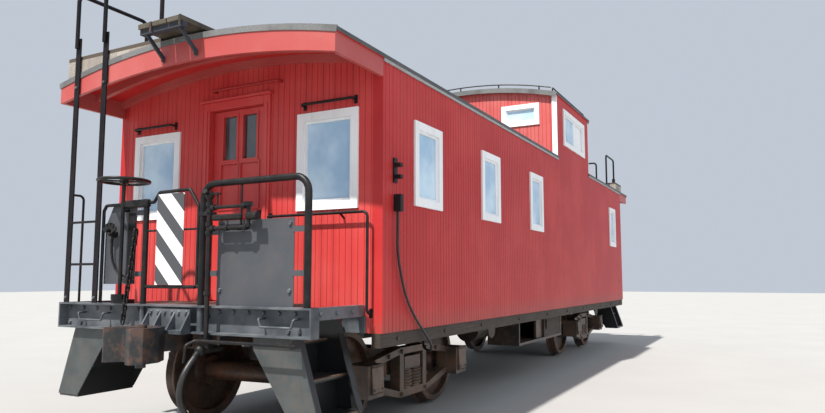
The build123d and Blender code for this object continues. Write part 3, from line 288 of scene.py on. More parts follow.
# %% Iron group
RUST = (0.19, 0.075, 0.035)
iron, given = new_group(
    "worn_iron",
    {"Paint": (0.02, 0.02, 0.022), "Dust": (0.12, 0.10, 0.085), "Rust": RUST},
    {"Dusty": 0.5, "Rusty": 0.3, "Grain": 30.0})
place = place_of(iron)
fine = noise(iron, place, given["Grain"], 7.0, 0.68)
broad = noise(iron, place, 5.0)
lying = graded(iron, parts_of(iron, normal_of(iron))["Z"], 0.35, 0.45, clamp=True)
dusty = times(iron, ramp(iron, broad, 0.30, 0.72), lying)
dusty = times(iron, dusty, given["Dusty"], clamp=True)
rusty = ramp(iron, times(iron, fine, maths(iron, "ADD", broad, 0.5)), 0.44, 0.66)
rusty = times(iron, rusty, given["Rusty"], clamp=True)
dusted = blend(iron, dusty, given["Paint"], given["Dust"])
close_group(iron, blend(iron, rusty, dusted, given["Rust"]), graded(iron, fine, 0.35, 0.26), fine)

# %% [markdown]
# ## Timber
# Bare planks go silver and split along the grain. Stretching a noise pattern along the plank gives the
# grain. A random shade for each board and a broad stain tell the boards apart.

# %% Timber group
timber, given = new_group(
    "bare_timber",
    {"Light": (0.50, 0.47, 0.42), "Dark": (0.12, 0.09, 0.07)},
    {"Board": 6.0, "Stain": 0.5})
place = place_of(timber)
fibres = noise(timber, stretched(timber, place, (1.2, 26, 26)), 5.0, 8.0, 0.7)
stain = ramp(timber, noise(timber, place, 3.0, 6.0), 0.40, 0.66)
board_shade = chance(timber, times(timber, parts_of(timber, place)["Y"], given["Board"]))
streaks = times(timber, ramp(timber, fibres, 0.35, 0.70), 0.75)
darkness = maths(timber, "ADD", streaks, times(timber, board_shade, 0.30), clamp=True)
darkness = maths(timber, "MAXIMUM", darkness, times(timber, stain, given["Stain"]), clamp=True)
close_group(timber, blend(timber, darkness, given["Light"], given["Dark"]),
            graded(timber, fibres, 0.3, 0.55), fibres)

# %% [markdown]
# ## Materials
# Each material keeps its own Principled shader, and gloss, coat and metal are set on the shader itself.
# The group only feeds colour, roughness and a little bump. One maker builds every material, and a change of
# colour can be slipped in later between the group and the shader.


# %% Material maker
def new_material(name, **shader):
    """A material whose Principled sockets are set by name, with _ for a space."""
    made = bpy.data.materials.new(name)
    made.use_nodes = True
    inputs = made.node_tree.nodes["Principled BSDF"].inputs
    for key, value in shader.items():
        inputs[key.replace("_", " ")].default_value = value
    return made, made.node_tree, inputs


def material(name, group, values, bump=0.15, distance=0.002, **shader):
    made, tree, inputs = new_material(name, **shader)
    recipe = add_node(tree, "ShaderNodeGroup", {"node_tree": group})
    for key, value in values.items():
        recipe.inputs[key].default_value = (*value, 1.0) if isinstance(value, tuple) else value
    relief = add_node(tree, "ShaderNodeBump", Height=recipe.outputs["Height"], Strength=bump,
                      Distance=distance)
    tree.links.new(recipe.outputs["Color"], inputs["Base Color"])
    tree.links.new(recipe.outputs["Roughness"], inputs["Roughness"])
    tree.links.new(relief.outputs["Normal"], inputs["Normal"])
    return made


def recolour(finish, change):
    """Passes the colour on its way to the shader through a change."""
    base_colour = finish.node_tree.nodes["Principled BSDF"].inputs["Base Color"]
    finish.node_tree.links.new(change(base_colour.links[0].from_socket), base_colour)


# %% [markdown]
# ## Red and white paint
# The boards of the long side, of the ends and of the cupola each have their own red. The ends and the cupola
# stand in the sun, and their paler, pinker reds are partly painted sunlight, a lit copy of the side's red,
# and partly fading. On all of them the V grooves are darker and no two boards are quite alike. Counting the
# boards
# along the wall gives both: the fraction of the count finds the groove, and the whole number the board.

# %% Paint
RED = (0.47, 0.018, 0.020)
RED_FADED = (0.60, 0.050, 0.045)
OLD_BOARD_RED = (0.30, 0.012, 0.014)
GROOVE_RED = (0.085, 0.006, 0.008)
WHITE = (0.90, 0.91, 0.92)
DIRT = (0.17, 0.115, 0.085)
BOARD = 0.0557
BOARD_GLOSS = 0.35


def painted(name, paint, faded, fade, streaks, dust_top=0.5, dust=DIRT, **looks):
    return material(name, weather, {"Paint": paint, "Faded": faded, "Dust": dust, "Fade": fade,
                                    "Streaks": streaks, "Dust top": dust_top}, **looks)


def board_lines(finish, axis, depth):
    """Darkens the V grooves and shifts each board a little, counted along X or Y."""
    tree = finish.node_tree
    count = maths(tree, "DIVIDE", parts_of(tree, place_of(tree))[axis], BOARD)
    board_shade = times(tree, chance(tree, maths(tree, "ADD", count, 0.5)), 0.22)
    from_middle = maths(tree, "ABSOLUTE", maths(tree, "SUBTRACT", maths(tree, "FRACT", count), 0.5))
    groove = times(tree, ramp(tree, from_middle, 0.44, 0.475), depth)
    recolour(finish, lambda colour: blend(tree, groove, blend(tree, board_shade, colour, OLD_BOARD_RED),
                                          GROOVE_RED))


side_paint = painted("red_side_boards", RED, RED_FADED, fade=0.55, streaks=0.10, dust_top=1.06,
                     Specular_IOR_Level=BOARD_GLOSS)
# The end walls' red is paler than the side red: painted sunlight for the sunlit ends, on top of fading.
sunlit_end_paint = painted("red_end_boards_painted_sunlit", (0.60, 0.050, 0.047), (0.66, 0.095, 0.085), fade=0.6, streaks=0.06,
                    dust_top=1.00, Specular_IOR_Level=BOARD_GLOSS)
# The cupola's ends are paler and pinker still: painted sunlight, on top of fading.
sunlit_cupola_paint = painted("red_cupola_boards_painted_sunlit", (0.58, 0.105, 0.098), (0.66, 0.190, 0.175), fade=0.7,
                       streaks=0.05, dust_top=1.00, Specular_IOR_Level=BOARD_GLOSS)
board_lines(side_paint, "X", 0.5)
board_lines(sunlit_end_paint, "Y", 0.25)
board_lines(sunlit_cupola_paint, "Y", 0.25)
trim_red = painted("red_trim", (0.58, 0.042, 0.040), (0.66, 0.10, 0.09), fade=0.5, streaks=0.08)
# The fascia red is darker than the trim red: painted shade, for the shadow under the lip of the roof.
shaded_fascia_paint = painted("shaded_fascia_paint", (0.44, 0.070, 0.064), (0.52, 0.145, 0.130), fade=0.5, streaks=0.10)
trim_white = painted("white_trim", WHITE, (0.78, 0.79, 0.79), fade=0.5, streaks=0.22, dust=(0.50, 0.47, 0.43))
print("paints:", len(bpy.data.materials))

# %% [markdown]
# ## Ironwork
# The iron parts have aged in different ways: the railing is still black, the end sill is grey with dust,
# and the trucks are brown with dust and rust. On the end sill the pale blue-grey given as dust, which lies
# most on what faces up, is partly a painted sheen of the sky. The same group serves them all. Even the
# rubber of the hoses is a dark, dusty skin without rust.

# %% Ironwork and rubber
BLACK = (0.006, 0.007, 0.008)
BLACK_DUST = (0.045, 0.048, 0.050)


def ironwork(name, paint, dust, dusty, rusty, grain=30.0, rust=RUST, **looks):
    return material(name, iron, {"Paint": paint, "Dust": dust, "Rust": rust, "Dusty": dusty, "Rusty": rusty,
                                 "Grain": grain}, **looks)


black_iron = ironwork("black_iron", BLACK, BLACK_DUST, dusty=0.35, rusty=0.06, Specular_IOR_Level=0.26)
grab_iron_paint = ironwork("grab_iron_paint", BLACK, BLACK_DUST, dusty=0.3, rusty=0.06,
                           Specular_IOR_Level=0.26)
# The dark maroon given as rust is partly dark rust and partly a painted reflection of the red end wall.
ladder_iron = ironwork("ladder_iron", (0.004, 0.004, 0.005), (0.03, 0.03, 0.034), dusty=0.2, rusty=0.2,
                       rust=(0.05, 0.009, 0.009), Specular_IOR_Level=0.22)
# The blue-grey given as dust is partly real dust and partly a painted sky highlight on the upward faces.
sill_iron = ironwork("sill_iron", (0.045, 0.054, 0.064), (0.235, 0.265, 0.290), dusty=0.9, rusty=0.10,
                     grain=22.0, Specular_IOR_Level=0.5)
coupler_iron = ironwork("coupler_iron", (0.016, 0.017, 0.019), (0.085, 0.085, 0.085), dusty=0.6, rusty=0.35,
                        grain=20.0, bump=0.25)
step_iron = ironwork("step_iron", (0.040, 0.048, 0.050), (0.105, 0.120, 0.118), dusty=0.9, rusty=0.10,
                     grain=18.0)
truck_iron = ironwork("truck_iron", (0.045, 0.032, 0.025), (0.20, 0.145, 0.105), dusty=1.0, rusty=0.6,
                      grain=26.0, rust=(0.16, 0.065, 0.030), bump=0.3)
wheel_steel = ironwork("wheel_steel", (0.050, 0.036, 0.028), (0.15, 0.11, 0.085), dusty=0.8, rusty=0.7,
                       grain=34.0, rust=(0.19, 0.070, 0.030), bump=0.25, Metallic=0.25)
under_iron = ironwork("under_iron", (0.022, 0.019, 0.017), (0.11, 0.085, 0.065), dusty=0.8, rusty=0.45,
                      bump=0.25)
drip_paint = ironwork("drip_strip", (0.34, 0.39, 0.39), (0.46, 0.48, 0.46), dusty=0.6, rusty=0.25, grain=16.0,
                      bump=0.1)
hose_rubber = ironwork("hose_rubber", (0.010, 0.010, 0.011), (0.07, 0.065, 0.06), dusty=0.6, rusty=0.0,
                       grain=60.0, bump=0.1)
print("with ironwork:", len(bpy.data.materials))

# %% [markdown]
# ## Bare wood
# The roof walks, the decks and the sills are planks without paint, or with so little left that the grain
# shows. Board counts the planks per metre across the car.

# %% Planks
def planks(name, light, dark, board, stain, **looks):
    return material(name, timber, {"Light": light, "Dark": dark, "Board": board, "Stain": stain}, **looks)


sill_timber = planks("sill_timber", (0.058, 0.041, 0.031), (0.016, 0.012, 0.009), board=2.0, stain=0.6,
                     bump=0.3)
grey_planks = planks("grey_planks", (0.50, 0.45, 0.40), (0.125, 0.095, 0.075), board=6.8, stain=0.65,
                     bump=0.4, distance=0.004)
brown_planks = planks("brown_planks", (0.125, 0.102, 0.070), (0.022, 0.017, 0.012), board=6.8, stain=0.85,
                      bump=0.5, distance=0.004)
roof_edge = planks("roof_edge", (0.22, 0.225, 0.225), (0.050, 0.050, 0.050), board=3.0, stain=0.7,
                   bump=0.4, distance=0.003)
deck_planks = planks("deck_planks", (0.16, 0.135, 0.115), (0.035, 0.030, 0.027), board=7.0, stain=0.7,
                     bump=0.3)
print("with wood:", len(bpy.data.materials))

# %% [markdown]
# ## Two colours on one solid
# One solid can hold parts of two trades: the beam under the roof walk is painted iron, and the inside of
# the steps is far darker than their outer plate, partly black paint and dirt and partly painted shade from
# the platform above. A few tests on the place, multiplied together, say where the second colour goes.


# %% Colours by place
def where(finish, colour, **limits):
    """Gives the finish a second colour beyond a distance along an axis: x_over, z_under and so on."""
    tree = finish.node_tree
    parts = parts_of(tree, place_of(tree))
    share = 1.0
    for key, limit in limits.items():
        axis, side = key.split("_")
        distance = maths(tree, "ABSOLUTE", parts[axis.upper()])
        test = maths(tree, "GREATER_THAN" if side == "over" else "LESS_THAN", distance, limit)
        share = times(tree, test, share)
    recolour(finish, lambda source: blend(tree, share, source, colour))
    print(finish.name, "changes at", limits)


where(brown_planks, (0.030, 0.037, 0.050), x_over=5.190, z_under=3.168)
where(grey_planks, (0.075, 0.056, 0.040), z_over=3.143)
where(grab_iron_paint, (0.36, 0.026, 0.026), x_over=4.40, y_under=0.50, z_over=2.80)
# Near black inside the outer plate: black paint and dirt, and painted shade of the platform above.
where(step_iron, (0.014, 0.015, 0.016), x_under=5.140)

# %% [markdown]
# ## Plates with a pattern
# The board in the railing carries broad white and grey stripes that fall to the right. They are a
# common warning pattern, so the height less a share of the place across, cut up by a fraction, draws them.
# The same material leaves the plain plates beside the board dark grey.

# %% Striped board and panels
STRIPE_PITCH = 0.270
STRIPE_START = 1.4675
STRIPE_FALL = 1.03
STRIPE_SHARE = 0.53
STRIPE_GREY = (0.062, 0.064, 0.070)
STRIPE_WHITE = (0.78, 0.78, 0.76)
STRIPED_Y = (-0.098, 0.194)

grey_panel = ironwork("grey_panel", (0.058, 0.063, 0.073), (0.11, 0.115, 0.125), dusty=0.5, rusty=0.06,
                      grain=14.0, bump=0.06, Specular_IOR_Level=0.5)
tree = grey_panel.node_tree
parts = parts_of(tree, place_of(tree))
across = times(tree, times(tree, parts["Y"], maths(tree, "SIGN", parts["X"])), -1.0)
slant = maths(tree, "SUBTRACT", parts["Z"], times(tree, across, STRIPE_FALL))
count = maths(tree, "DIVIDE", maths(tree, "SUBTRACT", slant, STRIPE_START), STRIPE_PITCH)
white_stripe = maths(tree, "LESS_THAN", maths(tree, "FRACT", count), STRIPE_SHARE)
stripes = blend(tree, white_stripe, STRIPE_GREY, STRIPE_WHITE)
on_board = times(tree, maths(tree, "GREATER_THAN", across, STRIPED_Y[0]),
                 maths(tree, "LESS_THAN", across, STRIPED_Y[1]))
recolour(grey_panel, lambda colour: blend(tree, on_board, colour, stripes))
print("stripes", STRIPE_PITCH, "m apart")

# %% [markdown]
# ## Roof
# The roof is grey on top and red underneath, where the platform ceiling is painted with the end wall.
# The surface normal tells the two apart, which still works when the mesh is exported.

# %% Roof material
CEILING_RED = (0.56, 0.022, 0.020)
roof_grey = ironwork("roof_covering", (0.050, 0.054, 0.056), (0.15, 0.15, 0.145), dusty=0.75, rusty=0.10,
                     grain=12.0, rust=(0.06, 0.055, 0.05), bump=0.35, distance=0.004)
tree = roof_grey.node_tree
facing_down = maths(tree, "LESS_THAN", parts_of(tree, normal_of(tree))["Z"], -0.5)
recolour(roof_grey, lambda colour: blend(tree, facing_down, colour, CEILING_RED))
print(roof_grey.name, "has", len(tree.nodes), "nodes")

# %% [markdown]
# ## Glass and floor
# Old window glass outdoors is mostly reflection. The panes are opaque: the blue of the windows is a painted
# reflection of the sky, in paler painted patches, under a smooth clear coat that reads as glass from every
# side. The panes in the doors look into the dark, so their near black is painted shade with a faint painted
# reflection. The floor is pale and matt, with a faint mottle so that it doesn't look like paper.


# %% Glass and floor finish
# Both colours of a pane are painted light: sky reflection on the windows, the dark room behind on the doors.
def glass(name, clear, paler_painted_tone):
    made, tree, inputs = new_material(name, Specular_IOR_Level=0.9, Coat_Weight=0.6, Coat_Roughness=0.03)
    haze_and_reflection = ramp(tree, noise(tree, place_of(tree), 2.2, 3.0), 0.35, 0.7)
    tree.links.new(blend(tree, haze_and_reflection, clear, paler_painted_tone), inputs["Base Color"])
    tree.links.new(graded(tree, haze_and_reflection, 0.10, 0.04), inputs["Roughness"])
    return made


# Pale blue: a painted reflection of the sky, with paler painted patches.
window_glass = glass("window_glass", (0.33, 0.53, 0.74), (0.64, 0.82, 0.95))
# Near black: painted shade of the dark inside, with a faint painted reflection.
door_glass = glass("door_glass", (0.035, 0.040, 0.045), (0.09, 0.10, 0.11))

floor_paint, tree, inputs = new_material("studio_floor", Roughness=0.9)
mottle = noise(tree, place_of(tree), 0.8)
tree.links.new(blend(tree, mottle, (0.36, 0.355, 0.345), (0.42, 0.415, 0.40)), inputs["Base Color"])
floor_mesh.materials.append(floor_paint)
print("all materials:", len(bpy.data.materials))

# %% [markdown]
# ## Finish the solids
# Most solids have their real shape already. Each one gets the finish of its trade, and what comes in pairs
# is named once, without near or far.

# %% Assign finishes
TRADES = (
    (under_iron, ("underframe", "cross_arms", "brake_gear", "tool_boxes")),
    (sill_timber, ("side_sills", "floor", "box_door")),
    (sill_iron, ("end_sills",)),
    (deck_planks, ("platforms",)),
    (step_iron, ("steps",)),
    (trim_white, ("side_window_frames", "end_window_frames", "cupola_window_frames")),
    (window_glass, ("window_glass",)),
    (door_glass, ("door_glass",)),
    (roof_grey, ("roof", "cupola_roof")),
    (shaded_fascia_paint, ("fascias",)),
    (brown_planks, ("roof_walk",)),
    (grey_planks, ("ladder_walks",)),
    (ladder_iron, ("ladders",)),
    (black_iron, ("railings", "brake_stands", "air_valves", "cupola_rails", "side_brackets", "end_fittings")),
    (grab_iron_paint, ("grab_irons",)),
    (grey_panel, ("railing_panels",)),
    (coupler_iron, ("coupler",)),
    (truck_iron, ("truck", "hose_coupling")),
    (wheel_steel, ("wheelset",)),
    (trim_red, ("end_door",)),
    (side_paint, ("side_wall", "cupola_side")),
    (sunlit_end_paint, ("end_wall", "cupola_ends")),
    (hose_rubber, ("side_cable", "air_hose")),
)
finish_of = {trade: finish for finish, trades in TRADES for trade in trades}
for name, node_object in nodes.items():
    trade = name.split("_near")[0].split("_far")[0]
    node_object.data.materials.clear()
    node_object.data.materials.append(finish_of[trade])
print("finished", len(nodes), "solids")

# %% [markdown]
# ## Making a piece
# Every new mesh is built at its real place with its object at the origin, then told which body carries
# it. That is what lets doors swing and trucks turn with everything on them. Both sides and both ends of
# the car are alike, so a piece is often modelled once and then copied.


# %% Piece maker
HALF_TURN = Matrix.Rotation(math.pi, 3, "Z")
QUARTER_X = Matrix.Rotation(math.pi / 2, 4, "X")


def piece(name, bm, finish, body="carbody", replaced=(), smooth=False):
    bmesh.ops.remove_doubles(bm, verts=bm.verts, dist=0.00005)
    bmesh.ops.recalc_face_normals(bm, faces=bm.faces)
    mesh = bpy.data.meshes.new(name)
    bm.to_mesh(mesh)
    bm.free()
    mesh.materials.append(finish)
    if smooth:
        mesh.shade_smooth()
    made = bpy.data.objects.new(name, mesh)
    bpy.context.collection.objects.link(made)
    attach(made, body)
    if replaced:
        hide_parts(*replaced)
    print(name, len(mesh.polygons), "faces")


def verts_in(geometry):
    return [item for item in geometry if isinstance(item, bmesh.types.BMVert)]


def linked(verts, kind="link_edges"):
    """The edges or faces that touch some vertices, each once."""
    return list({part for vert in verts for part in getattr(vert, kind)})


def copied(bm):
    return verts_in(bmesh.ops.duplicate(bm, geom=bm.verts[:] + bm.edges[:] + bm.faces[:])["geom"])


def turned_copy(bm):
    """Adds the same shapes at the other end of the car, turned half round."""
    bmesh.ops.rotate(bm, verts=copied(bm), cent=(0, 0, 0), matrix=HALF_TURN)


def mirrored_copy(bm):
    """Adds the same shapes on the other side of the car."""
    bmesh.ops.scale(bm, verts=copied(bm), vec=(1, -1, 1))


# %% [markdown]
# ## Growing a shape
# Extruding is the operator that does most of the work here. One helper grows a line of edges and gives
# back its new front, and one pushes faces out to a thickness.


# %% Growing helpers
def grow(bm, edges):
    """Extrudes a line of edges; gives the new vertices and the new line."""
    grown = bmesh.ops.extrude_edge_only(bm, edges=edges)["geom"]
    verts = verts_in(grown)
    return verts, [item for item in grown if isinstance(item, bmesh.types.BMEdge)
                   and set(item.verts) <= set(verts)]


def thicken(bm, faces, step):
    """Extrudes faces by a step; gives the vertices that moved."""
    moved = verts_in(bmesh.ops.extrude_face_region(bm, geom=faces)["geom"])
    bmesh.ops.translate(bm, verts=moved, vec=step)
    return moved


# %% [markdown]
# ## V-groove sheathing
# The body is clad in narrow upright boards with a V groove at each joint. A wall starts as one upright
# chain of edges. Extruding the chain along the wall leaves a column of faces for each board and each
# groove side, so the grooves are real and the windows are just the columns and rows that are taken out.


# %% Boarded wall
GROOVE = 0.0035
GROOVE_DEPTH = 0.005
LINER = 0.030
APART = 0.001


def arch(y, spring, rise):
    """The height of a roof that springs from the side walls and rises in the middle."""
    radius = (SIDE_Y ** 2 + rise ** 2) / (2 * rise)
    return spring + rise - radius + math.sqrt(radius ** 2 - y ** 2)


def boarded_wall(name, replaced, finish, axis, face, inward, span, low, high, cuts):
    """A wall of grooved boards on the plane at face, as thick as inward, with rectangular cuts.

    It runs along X or Y. low and high give its lower and upper edge at a place along it.
    """
    along, depthways = (0, 1) if axis == "X" else (1, 0)

    def place(run, depth, height):
        spot = Vector((0, 0, height))
        spot[along] = run
        spot[depthways] = face + math.copysign(depth, inward)
        return spot

    levels = sorted({level for cut in cuts for level in cut[2:]})
    lines = {end: 0.0 for end in (*span, *(edge for cut in cuts for edge in cut[:2]))}
    for index in range(math.ceil(span[0] / BOARD), math.floor(span[1] / BOARD) + 1):
        joint = index * BOARD
        for line, depth in ((joint - GROOVE, 0.0), (joint, GROOVE_DEPTH), (joint + GROOVE, 0.0)):
            if span[0] < line < span[1] and all(abs(line - other) > APART for other in lines):
                lines[line] = depth

    bm = bmesh.new()
    order = sorted(lines)
    chain = [bm.verts.new(place(order[0], 0, height)) for height in (low(order[0]), *levels, high(order[0]))]
    edges = [bm.edges.new(pair) for pair in zip(chain, chain[1:])]
    for line in order[1:]:
        chain, edges = grow(bm, edges)
        chain.sort(key=lambda vert: vert.co.z)
        for vert, height in zip(chain, (low(line), *levels, high(line))):
            vert.co = place(line, lines[line], height)
    gone = []
    for wall_face in bm.faces:
        middle = wall_face.calc_center_median()
        if any(cut[0] < middle[along] < cut[1] and cut[2] < middle.z < cut[3] for cut in cuts):
            gone.append(wall_face)
    bmesh.ops.delete(bm, geom=gone, context="FACES")
    for vert in thicken(bm, bm.faces[:], place(0, abs(inward), 0) - place(0, 0, 0)):
        if abs(vert.co[depthways] - face) > abs(inward):
            vert.co[depthways] = face + inward
    piece(name, bm, finish, replaced=replaced)


def cut_of(window):
    """The opening in the wall, which is smaller than the trim that covers its edge."""
    middle, z, width, height = window
    across, up = width / 2 - TRIM + LINER, height / 2 - TRIM + LINER
    return (middle - across, middle + across, z - up, z + up)


# %% [markdown]
# The long sides and the cupola's sides are straight, so their lower and upper edges keep one height.

# %% Side walls
for side, sign in (("near", -1), ("far", 1)):
    face, inward = sign * SIDE_Y, -sign * WALL
    boarded_wall(f"side_boards_{side}", [f"side_wall_{side}"], side_paint, "X", face, inward, (-END_X, END_X),
                 lambda x: WALL_BOTTOM, lambda x: EAVE, [cut_of(window) for window in SIDE_WINDOWS])
    boarded_wall(f"cupola_side_boards_{side}", [f"cupola_side_{side}"], side_paint, "X", face, inward,
                 CUPOLA_X, lambda x: EAVE, lambda x: CUPOLA_EAVE, [cut_of(CUPOLA_WINDOW)])

# %% [markdown]
# The end walls are the same thing with an arched top. The doorway is one more cut, and it ends at the deck.
# The cupola's end walls stand on the arch of the main roof and end under their own arch, so both of their
# edges follow a curve. They reach a little below the roof, so that no gap shows along it.

# %% End walls
CUPOLA_FOOT = 0.110
end_span = (-INNER_Y, INNER_Y)
end_cuts = [cut_of(window) for window in END_WINDOWS] + [(-DOORWAY_HALF, DOORWAY_HALF, DECK, DOORWAY_TOP)]
for end, sign in (("near", -1), ("far", 1)):
    boarded_wall(f"end_boards_{end}", [f"end_wall_{end}"], sunlit_end_paint, "Y", sign * END_X, -sign * WALL,
                 end_span, lambda y: WALL_BOTTOM, lambda y: arch(y, EAVE, ROOF_RISE), end_cuts)
for label, face, inward in (("a", CUPOLA_X[0], WALL), ("b", CUPOLA_X[1], -WALL)):
    boarded_wall(f"cupola_end_boards_{label}", ["cupola_ends"], sunlit_cupola_paint, "Y", face, inward, end_span,
                 lambda y: arch(y, EAVE, ROOF_RISE) - CUPOLA_FOOT,
                 lambda y: arch(y, CUPOLA_EAVE, CUPOLA_RISE),
                 [cut_of(window) for window in CUPOLA_END_WINDOWS])

# %% [markdown]
# ## Doorway
# The solid end walls are replaced now, so the casing round the doorway and the ledger that carries the
# deck return as boards of their own. Each upright has a narrower stop in front of it, and a cap lies over
# the head. The boards are simple boxes with their edges taken off.


# %% Door casing and ledger
def add_box(bm, low, high, bevel=0.0):
    low, high = Vector(low), Vector(high)
    size = Matrix.Diagonal((*(high - low), 1))
    made = bmesh.ops.create_cube(bm, size=1.0, matrix=Matrix.Translation((low + high) / 2) @ size)
    if bevel:
        bmesh.ops.bevel(bm, geom=linked(made["verts"]), offset=bevel, segments=1, profile=0.5, affect="EDGES",
                        material=-1)


CASING = 0.070
PROUD = 0.018
STOP_INSET = 0.022
CAP = 0.020
CAP_PROUD = 0.030
LEDGER_HALF = 0.760
LEDGER = 0.030
front = -END_X - PROUD
casing_top = DOORWAY_TOP + CASING
cap_half = DOORWAY_HALF + CASING + CAP

bm = bmesh.new()
for side in (-1, 1):
    low_y, high_y = sorted((side * DOORWAY_HALF, side * (DOORWAY_HALF + CASING)))
    add_box(bm, (front, low_y, DECK), (-END_X, high_y, casing_top), bevel=0.004)
    add_box(bm, (front - PROUD / 2, low_y + STOP_INSET, DECK), (front, high_y - STOP_INSET, DOORWAY_TOP),
            bevel=0.003)
add_box(bm, (front, -DOORWAY_HALF, DOORWAY_TOP), (-END_X, DOORWAY_HALF, casing_top), bevel=0.004)
add_box(bm, (front - CAP_PROUD, -cap_half, casing_top), (-END_X, cap_half, casing_top + CAP), bevel=0.004)
turned_copy(bm)
piece("door_casings", bm, trim_red)

bm = bmesh.new()
add_box(bm, (front, -LEDGER_HALF, DECK - LEDGER), (-END_X, LEDGER_HALF, DECK))
turned_copy(bm)
piece("deck_ledgers", bm, sill_timber)

# %% [markdown]
# ## Frames, bolts and rods
# Four small makers cover much of what is left: a flat face, a frame like a window sash, a bolt head and a
# short rod. Each one starts from a primitive on a plane given by a matrix, so the same maker serves the
# side and the end of the car.


# %% Small makers
BOLT_TAPER = 0.8


def on_side(x, y, z):
    """A plane on the near side: local x along the car, y up, z outward."""
    return Matrix.Translation((x, y, z)) @ Matrix(((1, 0, 0, 0), (0, 0, -1, 0), (0, 1, 0, 0), (0, 0, 0, 1)))


def on_end(x, y, z):
    """A plane on the near end: local x to the right as one looks at it, y up, z outward."""
    return Matrix.Translation((x, y, z)) @ Matrix(((0, 0, -1, 0), (-1, 0, 0, 0), (0, 1, 0, 0), (0, 0, 0, 1)))


def lifted(place, height):
    return place @ Matrix.Translation((0, 0, height))


def add_face(bm, place, width, height):
    size = Matrix.Diagonal((width / 2, height / 2, 1, 1))
    return bmesh.ops.create_grid(bm, x_segments=1, y_segments=1, size=1, matrix=place @ size)["verts"]


def add_frame(bm, place, width, height, bar, depth):
    """A ring of bars: one face, inset by the width of its bars and then given its depth."""
    middle = add_face(bm, place, width, height)[0].link_faces[0]
    ring = bmesh.ops.inset_individual(bm, faces=[middle], thickness=bar, use_even_offset=True)["faces"]
    bmesh.ops.delete(bm, geom=[middle], context="FACES_ONLY")
    thicken(bm, ring, place.to_3x3() @ Vector((0, 0, depth)))


def add_bolt(bm, place, radius, height, sides=6):
    """A bolt head that stands on a plane, a little narrower at its top."""
    bmesh.ops.create_cone(bm, cap_ends=True, segments=sides, radius1=radius, radius2=radius * BOLT_TAPER,
                          depth=height, matrix=lifted(place, height / 2))


def add_rod(bm, place, radius, length, sides, closed=True):
    """A short round bar with its middle at the place."""
    bmesh.ops.create_cone(bm, cap_ends=closed, segments=sides, radius1=radius, radius2=radius,
                          depth=length, matrix=place)


# %% [markdown]
# ## Door mouldings
# A panelled door is known by the shadow lines round its panes and panels. Thin frames that stand a few
# millimetres proud give those lines. They and the knob ride on the door, so they swing with it.

# %% Door mouldings and knob
DOOR_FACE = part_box("end_door_near")[0].x
DOOR_FIELDS = ((0.110, 2.484, 0.150, 0.378), (0.110, 1.570, 0.190, 0.440), (0.110, 2.069, 0.190, 0.378))
MOULDING = 0.018
MOULDING_DEPTH = 0.008
KNOB = on_end(DOOR_FACE, -0.255, 1.82)
KNOB_OUT = 0.038
STEM_OUT = 0.018
KEY_PLATE = ((DOOR_FACE - 0.004, -0.270, 1.66), (DOOR_FACE, -0.240, 1.78))
for end in ("near", "far"):
    mouldings = bmesh.new()
    for y, z, width, height in DOOR_FIELDS:
        for across in (-y, y):
            add_frame(mouldings, on_end(DOOR_FACE, across, z), width + 2 * MOULDING, height + 2 * MOULDING,
                      MOULDING, MOULDING_DEPTH)
    knob = bmesh.new()
    add_bolt(knob, KNOB, radius=0.034, height=0.006, sides=20)
    bmesh.ops.create_uvsphere(knob, u_segments=16, v_segments=8, radius=0.024, matrix=lifted(KNOB, KNOB_OUT))
    add_rod(knob, lifted(KNOB, STEM_OUT), radius=0.009, length=0.03, sides=12, closed=False)
    add_box(knob, *KEY_PLATE, bevel=0.001)
    if end == "far":
        for bm in (mouldings, knob):
            bmesh.ops.rotate(bm, verts=bm.verts, cent=(0, 0, 0), matrix=HALF_TURN)
    piece(f"door_mouldings_{end}", mouldings, trim_red, f"{end}_end_door")
    piece(f"door_knob_{end}", knob, black_iron, f"{end}_end_door")

# %% [markdown]
# ## Sashes
# Behind the white trim sits a narrower sash that holds the glass. The step between the two is what the
# eye reads as a window, so every opening gets one. A panel closes nearly half of the cupola's side window,
# so the pane there ends at an upright post.


# %% Sashes and panes
def sight_of(window):
    """The width and the height that the trim leaves open."""
    return window[2] - 2 * TRIM, window[3] - 2 * TRIM


SASH = 0.020
CUPOLA_END_SASH = 0.016
SASH_DEPTH = 0.014
PANE_BACK = 0.018
PANE = 0.006
PANEL_SHARE = 0.46
POST_HALF = 0.018
POST_FRONT, POST_BACK = -SIDE_Y + 0.010, -SIDE_Y + 0.040
bm = bmesh.new()
panes = bmesh.new()
back = -SIDE_Y + PANE_BACK
post_x = CUPOLA_WINDOW[0] + (0.5 - PANEL_SHARE) * sight_of(CUPOLA_WINDOW)[0]
for window in (*SIDE_WINDOWS, CUPOLA_WINDOW):
    x, z = window[:2]
    width, height = sight_of(window)
    right, low, high = x + width / 2, z - height / 2, z + height / 2
    add_frame(bm, on_side(x, back, z), width, height, SASH, SASH_DEPTH)
    if window is CUPOLA_WINDOW:
        right = post_x
        add_box(bm, (post_x - POST_HALF, POST_FRONT, low), (post_x + POST_HALF, POST_BACK, high), bevel=0.003)
    add_box(panes, (x - width / 2, back, low), (right, back + PANE, high))
mirrored_copy(bm)
mirrored_copy(panes)
for windows, face, middle, bar in ((END_WINDOWS, -END_X, 0.0, SASH),
                                   (CUPOLA_END_WINDOWS, CUPOLA_X[0], sum(CUPOLA_X) / 2, CUPOLA_END_SASH)):
    for window in windows:
        y, z = window[:2]
        width, height = sight_of(window)
        for turn in (0, math.pi):
            about = Matrix.Translation((middle, 0, 0)) @ Matrix.Rotation(turn, 4, "Z")
            place = about @ on_end(face - middle + PANE_BACK, y, z)
            add_frame(bm, place, width, height, bar, SASH_DEPTH)
            size = Matrix.Diagonal((width, height, PANE, 1))
            bmesh.ops.create_cube(panes, size=1.0, matrix=lifted(place, -PANE / 2) @ size)
